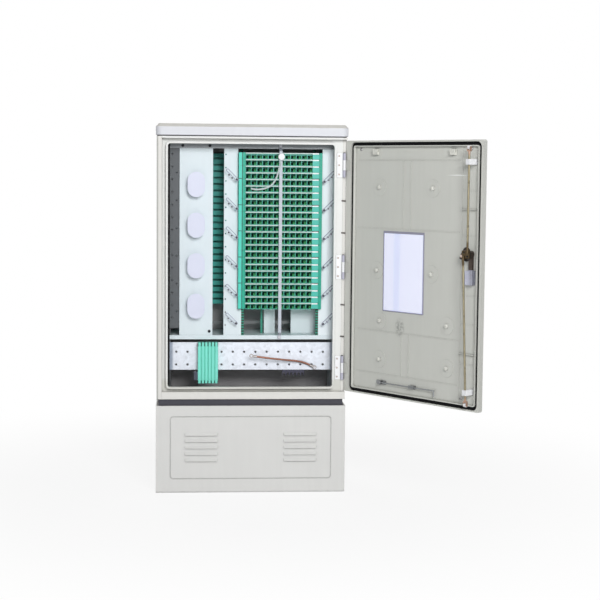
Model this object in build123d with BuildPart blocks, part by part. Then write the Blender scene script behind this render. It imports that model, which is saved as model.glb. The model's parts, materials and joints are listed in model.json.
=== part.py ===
from build123d import *
import os
from math import cos, radians, sin, tan

os.makedirs("parts", exist_ok=True)

# Overall body of the cabinet, with the front facing minus Y
body_width = 742
body_depth = 320
body_height = 1029
panel_wall = 5

# Plinth that stands on the ground, with its louvred front panel
plinth_overhang = 3
plinth_height = 346
plinth_wall = 6
emboss_side_margin = 55
emboss_low_margin = 54
emboss_high_margin = 41
emboss_width = 4
emboss_depth = 2
emboss_radius = 14
louvre_count = 5
louvre_pitch = 25.7
louvre_width = 128
louvre_height = 11
louvre_reach = 7
louvre_skin = 2
louvre_bank_share = 0.2607
louvre_first_share = 0.3613

# Steel frame inside the foot of the plinth, with its anchor holes
base_flange = 48
base_upstand = 40
base_wall = 4
anchor_inset_x = 28
anchor_inset_y = 28
anchor_hole_radius = 7

# Neck between plinth and body, and the floor with its cable entries
neck_height = 26
neck_inset = 11
neck_wall = 20
neck_flange_height = 6
floor_wall = 6
entry_count = 4
entry_pitch = 160
entry_radius = 30
entry_y = 30
grommet_clearance = 0.1
grommet_flange = 6
grommet_rise = 4
grommet_bore_radius = 12

# Left pillar, the door rebate and the raised lip round the opening
pillar_width = 20
rebate_depth = 28
frame_wall = 5
hinge_flange_width = 15
opening_left_margin = 23
opening_right_margin = 35
opening_low_margin = 18
opening_high_margin = 20
opening_radius = 10
lip_width = 8
lip_height = 19
sill_height = 29
sill_wall = 5
top_band_height = 8

# Roof cap and the plate under it
roof_overhang = 4
roof_gap = 4
roof_skirt = 33
roof_crown = 12
roof_bevel_angle = 45
roof_wall = 4
roof_corner = 22
roof_lip_chamfer = 2
roof_boss_radius = 10
roof_boss_inset_x = 60
roof_boss_inset_y = 40
top_plate_wall = 4
top_plate_margin = 2

# Equipment rack: two side plates, a top beam and a shelf
rack_left_gap = 45
rack_right_gap = 33
rack_setback = 55
rack_headroom = 25
rack_sheet = 3
rack_flange = 36
rack_flange_rise = 29
rack_hole_radius = 3
rack_hole_share = 0.07
rack_hole_count = 14
rack_hole_lift = 9
rack_hole_inset = 9
rack_wide_hole_share = 0.154
rack_wide_hole_count = 6
rack_wide_hole_drop = 15
rack_wide_hole_inset = 27
beam_height = 20
beam_depth = 32
shelf_rise = 222
shelf_lip = 16

# White panels on the rack, with the slack spools and the fibre rings
sheet_wall = 2
slack_panel_gap = 2
slack_panel_share = 0.2003
spool_count = 4
spool_pitch_share = 0.2158
spool_drop_share = 0.1919
spool_width = 68
spool_height = 99
spool_depth = 33
spool_flange_wall = 3
spool_hub_margin = 13
spool_hub_wall = 3
wing_left_width = 55
wing_right_width = 49
wing_gap = 2
wing_left_foot = 13
wing_right_foot = 9
wing_hole_radius = 3
wing_hole_share = 0.0687
wing_hole_count = 14
wing_hole_inset = 7
ring_count = 6
ring_length = 64
ring_width = 13
ring_wire = 3
ring_post_radius = 1.2
ring_tilt = 45
ring_reach = 26
ring_left_drop_share = 0.1399
ring_left_pitch_share = 0.1536
ring_left_shift = 4
ring_right_drop_share = 0.1473
ring_right_pitch_share = 0.1527

# Stack of splice trays with angled adapters behind a fascia of cells
tray_width_share = 0.5046
tray_depth_share = 0.6388
tray_reach = 23
tray_rise = 106
tray_headroom = 8
tray_pitch = 25.8
tray_clearance = 0.4
tray_floor = 2
tray_outer_wall = 12
tray_inner_wall = 15
tray_inner_setback = 7
tray_block_width = 26
tray_edge_width = 12
tray_edge_setback = 5
tray_box_setback = 55
tray_box_height = 20
port_count = 12
divider_wall = 2.2
divider_depth = 28
divider_setback = 1
divider_height = 18
strip_wall = 3
strip_height = 5
adapter_width = 9
adapter_length = 20
adapter_height = 12
adapter_tilt = 30
adapter_setback = 16
adapter_bore_width = 6
adapter_bore_height = 8
adapter_bore_depth = 7

# Rails and bars behind the trays, and the rear splice store
rail_width = 11
rail_depth = 10
rail_left_inset = 11
rail_right_inset = 15
rail_tooth_depth = 3
rail_tooth_share = 0.4
rail_foot_pitch = 8
crossbar_height = 12
crossbar_wall = 6
crossbar_rise = 33
rear_store_gap = 11
rear_store_width = 88
rear_store_clearance = 4
rear_store_drop = 4
rear_store_rise = 7
rear_slot_height = 8
rear_slot_depth = 20

# Retaining bar in front of the trays, its thumb screw and its nylon tie
bar_inset_share = 0.4818
bar_width = 12.5
bar_wall = 3
bar_clearance = 6
bar_foot = 18
bar_jog = 12
thumb_radius = 13
thumb_height = 6
thumb_drop = 31
thumb_inset = 4.2
thumb_round_share = 0.33
tie_width = 6.5
tie_wall = 1.2
tie_offsets = [(0, 0), (-12, -53), (-37, -98), (-74, -114), (-118, -112)]

# White covers and posts under the trays
shield_setback = 72
shield_low_inset = 108
shield_low_width = 44
shield_wide_inset = 216
shield_wide_width = 99
shield_height = 100
post_inset = 94
post_width = 8

# Perforated earth plate, tube guide and comb in the cable compartment
plate_rise = 100
plate_height = 110
plate_wall = 2
plate_hole_radius = 4.5
plate_hole_columns = 14
plate_hole_share = 0.0688
plate_hole_row_pitch = 51
plate_hole_shift = 8.5
plate_hole_drop = 8.5
tube_guide_inset = 112
tube_guide_width = 79
tube_guide_drop = 50
tube_guide_height = 162
tube_guide_depth = 35
groove_count = 5
groove_width = 6
groove_depth = 6
groove_cross_height = 12
guide_ear_width = 16
guide_ear_height = 33
guide_ear_depth = 15
guide_ear_rise = 13
comb_inset = 205
comb_width = 88
comb_drop = 22
comb_hold = 22
comb_slot_count = 6
comb_slot_width = 8
comb_slot_height = 10

# Copper earth lead between its lugs: route from the rack's right side, before and above the plate
lead_radius = 4
lead_offsets = [
    (96, 7, 19.5),
    (112, 7, 27.5),
    (141, 12, 35.5),
    (182, 21, 40.5),
    (214, 29, 44.5),
    (276, 38, 52.5),
    (309, 38, 57),
]
lead_bend_share = 0.45
lug_barrel_radius = 5
lug_barrel_length = 14
lug_ring_radius = 8
lug_hole_radius = 4.2
lug_wall = 3

# Fasteners
bolt_head_radius = 6
bolt_head_height = 4
slack_bolt_offset = 53
hinge_screw_radius = 3.6
hinge_screw_height = 1.6
hinge_screw_inset = 8
hinge_screw_pitch = 36

# Hinges, at shares of the door's height
hinge_height_shares = [0.0922, 0.4975, 0.9027]
hinge_inset = 10
hinge_stand = 6.5
hinge_height = 94
hinge_knuckle_radius = 5.5
hinge_pin_radius = 2.5
hinge_pin_clearance = 0.05
hinge_leaf_wall = 2.5
hinge_leaf_width = 28
hinge_middle = 40
hinge_middle_clearance = 0.5
hinge_notch_clearance = 1.5
hinge_pin_head_radius = 4
hinge_pin_head_height = 3

# Door, in its own frame: u runs out from the hinge axis and d runs inward from it
door_open_angle = 127.8
door_hinge_edge = 4
door_free_gap = 2.5
door_low_gap = 2
door_high_gap = 3
door_depth = 19
door_skin = 6
door_rim_setback = 7
door_corner = 8
gasket_width = 12
gasket_clearance = 0.5
gasket_side_clearance = 0.5
gasket_wall = 4
gasket_wall_drop = 2

# Embossing of the door's inner face, as shares of the door's width and height
emboss_rise = 1.5
disc_radius = 33
disc_boss_radius = 9
disc_boss_rise = 7
disc_place_shares = [
    (0.245, 0.819),
    (0.641, 0.819),
    (0.754, 0.306),
    (0.261, 0.146),
    (0.757, 0.146),
]
pocket_disc_share = 0.495
pocket_disc_low_share = 0.261
pocket_disc_gap = 2
pocket_disc_free_gap = 5
pocket_disc_low_gap = 6
rib_width = 3
rib_hinge_inset = 56
rib_free_inset = 120
rib_level_shares = [0.923, 0.087]
rib_over_pocket = 7
rib_under_pocket = 81
rib_column_shares = [0.42, 0.476]
channel_inset = 35.5
channel_width = 74
channel_low_margin = 33
channel_high_margin = 28
ledge_level_shares = [0.813, 0.647, 0.426, 0.319, 0.17]
deep_ledge_shares = [0.743, 0.208]
deep_ledge_rise = 8

# Document pocket with its sheet
pocket_centre_share = 0.4338
pocket_width = 212
pocket_rise_share = 0.3374
pocket_height = 309
pocket_header = 9
pocket_backing = 1
pocket_border = 4
sheet_thickness = 0.6
sheet_margin = 1

# Hooks, stay bracket and stay clip inside the door
hook_place_shares = [0.221, 0.784]
hook_drop = 44
hook_width = 24
hook_height = 22
hook_depth = 12
hook_slot = 8
stay_pivot_inset = 198
stay_rise = 55
stay_radius = 2.5
stay_reach = 286
stay_tip = 22
stay_lift = 11
stay_clearance = 0.4
stay_eye_radius = 6
stay_eye_height = 6
stay_pin_radius = 2.6
stay_pin_clearance = 0.1
stay_plate_width = 48
stay_plate_wall = 4
stay_lug_wall = 4
clip_run = 168
clip_width = 28
clip_wall = 3

# Lock: body, spindle with crank, outside handle and its plate
lock_inset = 57.5
lock_rise = 574
spindle_radius = 7
spindle_clearance = 0.08
skin_hole_clearance = 2
bush_radius = 12
bush_reach = 26
lock_box_width = 34
lock_box_height = 52
lock_box_drop = 112
lock_box_depth = 18
lock_strap_width = 18
lock_strap_depth = 8
crank_gap = 2
crank_wall = 3
crank_width = 34
crank_height = 52
crank_arm_curve = [(-33, -16), (-21, 8), (7, 24)]
crank_arm_corners = [(7, 24), (10, 0), (-12, -6), (-27, -20), (-33, -16)]
crank_pin_offset = 10
crank_pin_radius = 3
crank_rest_angle = -45
handle_plate_width = 38
handle_plate_height = 176
handle_plate_wall = 7
handle_plate_rise = 26
handle_plate_round_share = 0.33
handle_gap = 3
handle_width = 25
handle_length = 122
handle_thickness = 10
handle_head_width = 12
handle_head_size = 18
handle_head_depth = 13
handle_cheek_gap = 0.5
handle_cheek_radius = 6
handle_pivot_radius = 2.5
handle_neck_gap = 5

# Locking rods with their guides and rollers
rod_radius = 4
rod_depth = 19
rod_clearance = 0.3
rod_upper_offset = 12
rod_lower_top_offset = -9
rod_lower_end_offset = 16
rod_tab_wall = 5
rod_tab_margin = 3
rod_slot_clearance = 0.5
rod_slot_run = 3
rod_tab_drop = 24
roller_radius = 7
roller_width = 9.6
roller_gap = 0.4
roller_pin_radius = 2
roller_bore_clearance = 0.08
roller_frame_clearance = 4
fork_wall = 2.8
fork_depth = 8
fork_reach = 4
fork_gap = 2
fork_base_height = 6
guide_block_width = 17
guide_block_height = 20
guide_block_cover = 4
guide_upper_drop = 52
guide_lower_rise = 45

# Places of the body that follow from the sizes
front_y = -body_depth / 2
back_y = body_depth / 2
body_half = body_width / 2
plinth_width = body_width + 2 * plinth_overhang
plinth_depth = body_depth
louvre_bank_offset = louvre_bank_share * plinth_width
louvre_first_z = louvre_first_share * plinth_height
body_base = plinth_height + neck_height
body_top = body_base + body_height
rebate_y = front_y + rebate_depth
frame_back_y = rebate_y + frame_wall
inner_back_y = back_y - panel_wall
wall_inside = body_half - panel_wall
pillar_edge = -body_half + pillar_width
hinge_flange_edge = body_half - hinge_flange_width
sill_top = body_base + sill_height
band_base = body_top - top_band_height
opening_left = pillar_edge + opening_left_margin
opening_right = hinge_flange_edge - opening_right_margin
opening_base = sill_top + opening_low_margin
opening_top = band_base - opening_high_margin
opening_width = opening_right - opening_left
opening_height = opening_top - opening_base
opening_u = (opening_left + opening_right) / 2
opening_z = (opening_base + opening_top) / 2
floor_top = body_base + floor_wall

# Places of the rack and what it carries
rack_left = -wall_inside + rack_left_gap
rack_right = wall_inside - rack_right_gap
rack_front = frame_back_y + rack_setback
rack_width = rack_right - rack_left
rack_top = body_top - rack_headroom
beam_base = rack_top - beam_height
shelf_lip_base = floor_top + shelf_rise
shelf_top = shelf_lip_base + shelf_lip
sheet_height = beam_base - shelf_top
rack_flange_base = shelf_top + rack_flange_rise
rack_flange_height = beam_base - rack_flange_base
slack_panel_left = rack_left + rack_flange + slack_panel_gap
slack_panel_right = slack_panel_left + slack_panel_share * rack_width
spool_top_z = beam_base - spool_drop_share * sheet_height
spool_pitch = spool_pitch_share * sheet_height
tray_right = rack_right - rack_sheet - wing_right_width - wing_gap
tray_left = tray_right - tray_width_share * rack_width
tray_front = rack_front - tray_reach
tray_back = tray_front + tray_depth_share * (inner_back_y - rack_front)
tray_box_front = tray_front + tray_box_setback
tray_base = shelf_top + tray_rise
tray_height = tray_pitch - tray_clearance
tray_count = int((beam_base - tray_base - tray_headroom) // tray_pitch)
foot_top = tray_base - tray_clearance
tray_cell_left = tray_left + tray_outer_wall + tray_inner_wall
tray_cell_right = tray_right - tray_edge_width - tray_block_width
port_pitch = (tray_cell_right - tray_cell_left) / port_count
wing_left_edge = tray_left - wing_gap - wing_left_width
rail_left = tray_left + rail_left_inset
rail_right = tray_right - rail_right_inset - rail_width
rear_store_left = tray_left - rear_store_gap - rear_store_width
bar_left = tray_left + bar_inset_share * (tray_right - tray_left)
bar_front = tray_front - bar_clearance - bar_wall
thumb_z = beam_base - thumb_drop
plate_base = floor_top + plate_rise
plate_face = rack_front - plate_wall
lead_route = [(rack_right - x, plate_face - y, plate_base + z) for x, y, z in lead_offsets]

# Places of the door and its hardware
hinge_x = body_half - hinge_inset
hinge_y = rebate_y - hinge_stand
door_base = sill_top + door_low_gap
door_top = band_base - door_high_gap
door_height = door_top - door_base
door_free_edge = hinge_x - pillar_edge - door_free_gap
door_width = door_free_edge - door_hinge_edge
door_outer = -door_rim_setback - door_depth
door_panel = door_outer + door_skin
hinge_zs = [door_base + share * door_height for share in hinge_height_shares]
pocket_left = door_hinge_edge + pocket_centre_share * door_width - pocket_width / 2
pocket_right = pocket_left + pocket_width
pocket_base = door_base + pocket_rise_share * door_height
pocket_top = pocket_base + pocket_height
disc_places = [
    (door_hinge_edge + width_share * door_width, door_base + height_share * door_height)
    for width_share, height_share in disc_place_shares
]
pocket_disc_z = door_base + pocket_disc_share * door_height
disc_places += [
    (pocket_left - disc_radius - pocket_disc_gap, pocket_disc_z),
    (pocket_right + disc_radius + pocket_disc_free_gap, pocket_disc_z),
    (
        door_hinge_edge + pocket_disc_low_share * door_width,
        pocket_base - disc_radius - pocket_disc_low_gap,
    ),
]
rib_left = door_hinge_edge + rib_hinge_inset
rib_right = door_free_edge - rib_free_inset
rib_high, rib_low = [door_base + share * door_height for share in rib_level_shares]
rib_levels = [rib_high, pocket_top + rib_over_pocket, pocket_base - rib_under_pocket, rib_low]
rib_column_us = [door_hinge_edge + share * door_width for share in rib_column_shares]
channel_us = [door_free_edge - channel_inset - channel_width, door_free_edge - channel_inset]
channel_base = door_base + channel_low_margin
channel_top = door_top - channel_high_margin
ledges = [(share, emboss_rise) for share in ledge_level_shares]
ledges += [(share, deep_ledge_rise) for share in deep_ledge_shares]
hook_us = [door_hinge_edge + share * door_width for share in hook_place_shares]
hook_z = door_top - hook_drop
stay_pivot_u = door_hinge_edge + stay_pivot_inset
stay_z = door_base + stay_rise
clip_u = stay_pivot_u + clip_run
lock_u = door_free_edge - lock_inset
lock_z = door_base + lock_rise
rod_upper_u = lock_u + rod_upper_offset
rod_lower_top_u = lock_u + rod_lower_top_offset
rod_lower_end_u = lock_u + rod_lower_end_offset
roller_upper_z = opening_top - roller_radius - roller_frame_clearance
roller_lower_z = opening_base + roller_radius + roller_frame_clearance
guide_upper_z = roller_upper_z - guide_upper_drop
guide_lower_z = roller_lower_z + guide_lower_rise
swing = radians(180 + door_open_angle)
along_u = Vector(cos(swing), sin(swing), 0)
inward = Vector(sin(swing), -cos(swing), 0)
hinge_axis = Vector(hinge_x, hinge_y, 0)


def front_plane(y):
    """A plane that faces the front, with X across and Z up."""
    return Plane(origin=(0, y, 0), x_dir=(1, 0, 0), z_dir=(0, -1, 0))


def side_plane(x):
    """A plane that faces plus X, with Y across and Z up."""
    return Plane(origin=(x, 0, 0), x_dir=(0, 1, 0), z_dir=(1, 0, 0))


def door_point(u, d, z):
    """The place of a point of the door as it stands open."""
    return hinge_axis + along_u * u + inward * d + Vector(0, 0, z)


def door_face(d):
    """A plane along the door at depth d, with u across and Z up, facing inward."""
    return Plane(origin=door_point(0, d, 0), x_dir=along_u, z_dir=inward)


def block(x_span, y_span, z_span, mode=Mode.ADD):
    """A rectangular block between three pairs of limits."""
    with BuildSketch(Plane.XY.offset(z_span[0])) as profile:
        with Locations((sum(x_span) / 2, sum(y_span) / 2)):
            Rectangle(x_span[1] - x_span[0], y_span[1] - y_span[0])
    extrude(profile.sketch, amount=z_span[1] - z_span[0], mode=mode)


def door_block(u_span, d_span, z_span, mode=Mode.ADD):
    """A rectangular block of the door between limits along u, d and Z."""
    with BuildSketch(door_face(d_span[0])) as profile:
        with Locations((sum(u_span) / 2, sum(z_span) / 2)):
            Rectangle(u_span[1] - u_span[0], z_span[1] - z_span[0])
    extrude(profile.sketch, amount=d_span[1] - d_span[0], mode=mode)


def round_bar(start, direction, radius, length, mode=Mode.ADD):
    """A round bar from a start point along a direction."""
    with BuildSketch(Plane(origin=start, z_dir=direction)) as profile:
        Circle(radius)
    extrude(profile.sketch, amount=length, mode=mode)


def ring_frame(plane, centre, outer, inner, corners, depth):
    """A rounded rectangular ring on a plane, raised by a depth."""
    with BuildSketch(plane) as profile:
        with Locations(centre):
            RectangleRounded(outer[0], outer[1], corners[0])
            RectangleRounded(inner[0], inner[1], corners[1], mode=Mode.SUBTRACT)
    extrude(profile.sketch, amount=depth)


def save(builder, label):
    """Labels a finished piece and writes it to its own file."""
    builder.part.label = label
    export_step(builder.part, f"parts/{label}.step")


# Steel base frame with the anchor holes
base_width = plinth_width - 2 * plinth_wall
base_depth = plinth_depth - 2 * plinth_wall
with BuildPart() as base_frame:
    with BuildSketch():
        Rectangle(base_width, base_depth)
        Rectangle(base_width - 2 * base_flange, base_depth - 2 * base_flange, mode=Mode.SUBTRACT)
        with GridLocations(base_width - 2 * anchor_inset_x, base_depth - 2 * anchor_inset_y, 2, 2):
            Circle(anchor_hole_radius, mode=Mode.SUBTRACT)
    extrude(amount=base_wall)
    with BuildSketch():
        Rectangle(base_width, base_depth)
        Rectangle(base_width - 2 * base_wall, base_depth - 2 * base_wall, mode=Mode.SUBTRACT)
    extrude(amount=base_upstand)
save(base_frame, "base_frame")

# Front plinth panel with its embossed border and two banks of louvres
plinth_half = plinth_width / 2
plinth_front_y = -plinth_depth / 2
with BuildPart() as plinth_front:
    block((-plinth_half, plinth_half), (plinth_front_y, plinth_front_y + plinth_wall), (0, plinth_height))
    emboss_width_outer = plinth_width - 2 * emboss_side_margin
    emboss_height_outer = plinth_height - emboss_low_margin - emboss_high_margin
    with BuildSketch(front_plane(plinth_front_y)):
        with Locations((0, emboss_low_margin + emboss_height_outer / 2)):
            RectangleRounded(emboss_width_outer, emboss_height_outer, emboss_radius)
            RectangleRounded(
                emboss_width_outer - 2 * emboss_width,
                emboss_height_outer - 2 * emboss_width,
                emboss_radius - emboss_width,
                mode=Mode.SUBTRACT,
            )
    extrude(amount=-emboss_depth, mode=Mode.SUBTRACT)
    slot_height = louvre_height - 2 * louvre_skin
    slot_width = louvre_width - 2 * louvre_skin
    for bank_x in (-louvre_bank_offset, louvre_bank_offset):
        for row in range(louvre_count):
            hood_z = louvre_first_z + row * louvre_pitch
            with BuildSketch(side_plane(bank_x - louvre_width / 2)):
                with BuildLine():
                    Polyline(
                        (plinth_front_y, hood_z + louvre_height),
                        (plinth_front_y - louvre_reach, hood_z),
                        (plinth_front_y, hood_z),
                        close=True,
                    )
                make_face()
            extrude(amount=louvre_width)
            with BuildSketch(side_plane(bank_x - slot_width / 2)):
                with BuildLine():
                    Polyline(
                        (plinth_front_y, hood_z + slot_height),
                        (plinth_front_y - louvre_reach + louvre_skin, hood_z),
                        (plinth_front_y + plinth_wall, hood_z),
                        (plinth_front_y + plinth_wall, hood_z + slot_height),
                        close=True,
                    )
                make_face()
            extrude(amount=slot_width, mode=Mode.SUBTRACT)
save(plinth_front, "plinth_front")

# Plain back panel of the plinth
with BuildPart() as plinth_back:
    plinth_back_y = plinth_depth / 2
    block((-plinth_half, plinth_half), (plinth_back_y - plinth_wall, plinth_back_y), (0, plinth_height))
save(plinth_back, "plinth_back")

# Side panels of the plinth, between front and back
plinth_side_reach = plinth_depth / 2 - plinth_wall
with BuildPart() as plinth_left:
    block(
        (-plinth_half, -plinth_half + plinth_wall),
        (-plinth_side_reach, plinth_side_reach),
        (0, plinth_height),
    )
save(plinth_left, "plinth_left")

with BuildPart() as plinth_right:
    block(
        (plinth_half - plinth_wall, plinth_half),
        (-plinth_side_reach, plinth_side_reach),
        (0, plinth_height),
    )
save(plinth_right, "plinth_right")

# Dark neck, seated inside the top of the plinth by its flange
neck_width = plinth_width - 2 * neck_inset
neck_depth = plinth_depth - 2 * neck_inset
with BuildPart() as neck_frame:
    with BuildSketch(Plane.XY.offset(plinth_height - neck_flange_height)):
        Rectangle(base_width, base_depth)
        Rectangle(neck_width - 2 * neck_wall, neck_depth - 2 * neck_wall, mode=Mode.SUBTRACT)
    extrude(amount=neck_flange_height)
    with BuildSketch(Plane.XY.offset(plinth_height)):
        Rectangle(neck_width, neck_depth)
        Rectangle(neck_width - 2 * neck_wall, neck_depth - 2 * neck_wall, mode=Mode.SUBTRACT)
    extrude(amount=neck_height)
save(neck_frame, "neck_frame")

# Floor with its round cable entries
with BuildPart() as cabinet_floor:
    block((-wall_inside, wall_inside), (frame_back_y, inner_back_y), (body_base, floor_top))
    with BuildSketch(Plane.XY.offset(body_base)):
        with Locations((0, entry_y)):
            with GridLocations(entry_pitch, 0, entry_count, 1):
                Circle(entry_radius)
    extrude(amount=floor_wall, mode=Mode.SUBTRACT)
save(cabinet_floor, "cabinet_floor")

# Rubber grommets in the cable entries
with BuildPart() as cable_grommets:
    with BuildSketch(Plane.XY.offset(body_base)):
        with Locations((0, entry_y)):
            with GridLocations(entry_pitch, 0, entry_count, 1):
                Circle(entry_radius - grommet_clearance)
    extrude(amount=floor_wall)
    with BuildSketch(Plane.XY.offset(floor_top)):
        with Locations((0, entry_y)):
            with GridLocations(entry_pitch, 0, entry_count, 1):
                Circle(entry_radius + grommet_flange)
    extrude(amount=grommet_rise)
    with BuildSketch(Plane.XY.offset(body_base)):
        with Locations((0, entry_y)):
            with GridLocations(entry_pitch, 0, entry_count, 1):
                Circle(grommet_bore_radius)
    extrude(amount=floor_wall + grommet_rise, mode=Mode.SUBTRACT)
save(cable_grommets, "cable_grommets")

# Left side wall with its hollow front pillar
with BuildPart() as side_left:
    with BuildSketch(Plane.XY.offset(body_base)):
        with BuildLine():
            Polyline(
                (-body_half, front_y),
                (pillar_edge, front_y),
                (pillar_edge, frame_back_y),
                (pillar_edge - panel_wall, frame_back_y),
                (pillar_edge - panel_wall, front_y + panel_wall),
                (-wall_inside, front_y + panel_wall),
                (-wall_inside, inner_back_y),
                (-body_half, inner_back_y),
                close=True,
            )
        make_face()
    extrude(amount=body_height)
save(side_left, "side_left")

# Right side wall with the flange that carries the hinges, and a block at its foot and head
with BuildPart() as side_right:
    with BuildSketch(Plane.XY.offset(body_base)):
        with BuildLine():
            Polyline(
                (body_half, rebate_y),
                (body_half, inner_back_y),
                (wall_inside, inner_back_y),
                (wall_inside, frame_back_y),
                (hinge_flange_edge, frame_back_y),
                (hinge_flange_edge, rebate_y),
                close=True,
            )
        make_face()
    extrude(amount=body_height)
    block((hinge_flange_edge, body_half), (front_y, rebate_y), (body_base, sill_top))
    block((hinge_flange_edge, body_half), (front_y, rebate_y), (band_base, body_top))
save(side_right, "side_right")

# Back wall
with BuildPart() as back_panel:
    block((-body_half, body_half), (inner_back_y, back_y), (body_base, body_top))
save(back_panel, "back_panel")

# Top plate under the roof
with BuildPart() as top_panel:
    with BuildSketch(Plane.XY.offset(body_top)):
        RectangleRounded(
            body_width - 2 * top_plate_margin,
            body_depth - 2 * top_plate_margin,
            roof_corner - roof_wall,
        )
    extrude(amount=top_plate_wall)
save(top_panel, "top_panel")

# Front frame: the rebate, the lip that meets the door gasket, and the band above the door
frame_centre = ((pillar_edge + hinge_flange_edge) / 2, (body_base + body_top) / 2)
with BuildPart() as front_frame:
    with BuildSketch(front_plane(frame_back_y)):
        with Locations(frame_centre):
            Rectangle(hinge_flange_edge - pillar_edge, body_height)
        with Locations((opening_u, opening_z)):
            RectangleRounded(opening_width, opening_height, opening_radius, mode=Mode.SUBTRACT)
    extrude(amount=frame_wall)
    ring_frame(
        front_plane(rebate_y),
        (opening_u, opening_z),
        (opening_width + 2 * lip_width, opening_height + 2 * lip_width),
        (opening_width, opening_height),
        (opening_radius + lip_width, opening_radius),
        lip_height,
    )
    block((pillar_edge, hinge_flange_edge), (front_y, rebate_y), (band_base, body_top))
save(front_frame, "front_frame")

# Hollow sill under the door
with BuildPart() as front_sill:
    with BuildSketch(side_plane(pillar_edge)):
        with BuildLine():
            Polyline(
                (rebate_y, body_base),
                (front_y, body_base),
                (front_y, sill_top),
                (rebate_y, sill_top),
                (rebate_y, sill_top - sill_wall),
                (front_y + sill_wall, sill_top - sill_wall),
                (front_y + sill_wall, body_base + sill_wall),
                (rebate_y, body_base + sill_wall),
                close=True,
            )
        make_face()
    extrude(amount=hinge_flange_edge - pillar_edge)
save(front_sill, "front_sill")

# Roof cap with a bevelled crown, hollow below, standing on four bosses
roof_base = body_top + roof_gap
roof_width = body_width + 2 * roof_overhang
roof_depth = body_depth + 2 * roof_overhang
with BuildPart() as roof:
    with BuildSketch(Plane.XY.offset(roof_base)):
        RectangleRounded(roof_width, roof_depth, roof_corner)
    extrude(amount=roof_skirt)
    chamfer(roof.edges().group_by(Axis.Z)[0], roof_lip_chamfer)
    with BuildSketch(Plane.XY.offset(roof_base + roof_skirt)):
        RectangleRounded(roof_width, roof_depth, roof_corner)
    extrude(amount=roof_crown, taper=roof_bevel_angle)
    with BuildSketch(Plane.XY.offset(roof_base)):
        RectangleRounded(roof_width - 2 * roof_wall, roof_depth - 2 * roof_wall, roof_corner - roof_wall)
    extrude(amount=roof_skirt, mode=Mode.SUBTRACT)
    with BuildSketch(Plane.XY.offset(body_top + top_plate_wall)):
        with GridLocations(roof_width - 2 * roof_boss_inset_x, roof_depth - 2 * roof_boss_inset_y, 2, 2):
            Circle(roof_boss_radius)
    extrude(amount=roof_gap + roof_skirt - top_plate_wall)
save(roof, "roof")

# Left side plate of the rack, with its pierced front flange
with BuildPart() as rack_side_left:
    block((rack_left, rack_left + rack_sheet), (rack_front, inner_back_y), (floor_top, rack_top))
    block(
        (rack_left, rack_left + rack_flange),
        (rack_front, rack_front + rack_sheet),
        (rack_flange_base, beam_base),
    )
    flange_z = (rack_flange_base + beam_base) / 2
    with BuildSketch(front_plane(rack_front)):
        with Locations((rack_left + rack_hole_inset, flange_z + rack_hole_lift)):
            with GridLocations(0, rack_hole_share * rack_flange_height, 1, rack_hole_count):
                Circle(rack_hole_radius)
        with Locations((rack_left + rack_wide_hole_inset, flange_z - rack_wide_hole_drop)):
            with GridLocations(0, rack_wide_hole_share * rack_flange_height, 1, rack_wide_hole_count):
                Circle(rack_hole_radius)
    extrude(amount=-rack_sheet, mode=Mode.SUBTRACT)
save(rack_side_left, "rack_side_left")

# Right side plate of the rack
with BuildPart() as rack_side_right:
    block((rack_right - rack_sheet, rack_right), (rack_front, inner_back_y), (floor_top, rack_top))
save(rack_side_right, "rack_side_right")

# Top beam across the rack
rack_inner = (rack_left + rack_sheet, rack_right - rack_sheet)
with BuildPart() as rack_top_beam:
    block((rack_left, rack_right), (rack_front - rack_sheet, rack_front), (beam_base, rack_top))
    block(rack_inner, (rack_front, rack_front + beam_depth), (rack_top - rack_sheet, rack_top))
save(rack_top_beam, "rack_top_beam")

# Shelf across the rack, with its front folded down into a lip
with BuildPart() as rack_shelf:
    block(rack_inner, (rack_front, inner_back_y), (shelf_top - rack_sheet, shelf_top))
    block(
        (rack_left, rack_right),
        (rack_front - rack_sheet, rack_front),
        (shelf_lip_base, shelf_top),
    )
save(rack_shelf, "rack_shelf")

# White slack panel behind beam and lip
sheet_top = rack_top - rack_sheet
with BuildPart() as slack_panel:
    block(
        (slack_panel_left, slack_panel_right),
        (rack_front, rack_front + sheet_wall),
        (shelf_top, sheet_top),
    )
save(slack_panel, "slack_panel")

# Oval spools for slack fibre: a hub, hollow towards the panel, and a front flange
slack_x = (slack_panel_left + slack_panel_right) / 2
spool_hub = (spool_height - 2 * spool_hub_margin, spool_width - 2 * spool_hub_margin)
with BuildPart() as slack_spools:
    for index in range(spool_count):
        spool_place = (slack_x, spool_top_z - index * spool_pitch)
        with BuildSketch(front_plane(rack_front)):
            with Locations(spool_place):
                SlotOverall(spool_hub[0], spool_hub[1], rotation=90)
        extrude(amount=spool_depth)
        with BuildSketch(front_plane(rack_front - spool_depth + spool_flange_wall)):
            with Locations(spool_place):
                SlotOverall(spool_height, spool_width, rotation=90)
        extrude(amount=spool_flange_wall)
        with BuildSketch(front_plane(rack_front)):
            with Locations(spool_place):
                SlotOverall(
                    spool_hub[0] - 2 * spool_hub_wall,
                    spool_hub[1] - 2 * spool_hub_wall,
                    rotation=90,
                )
        extrude(amount=spool_depth - spool_flange_wall, mode=Mode.SUBTRACT)
save(slack_spools, "slack_spools")

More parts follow.
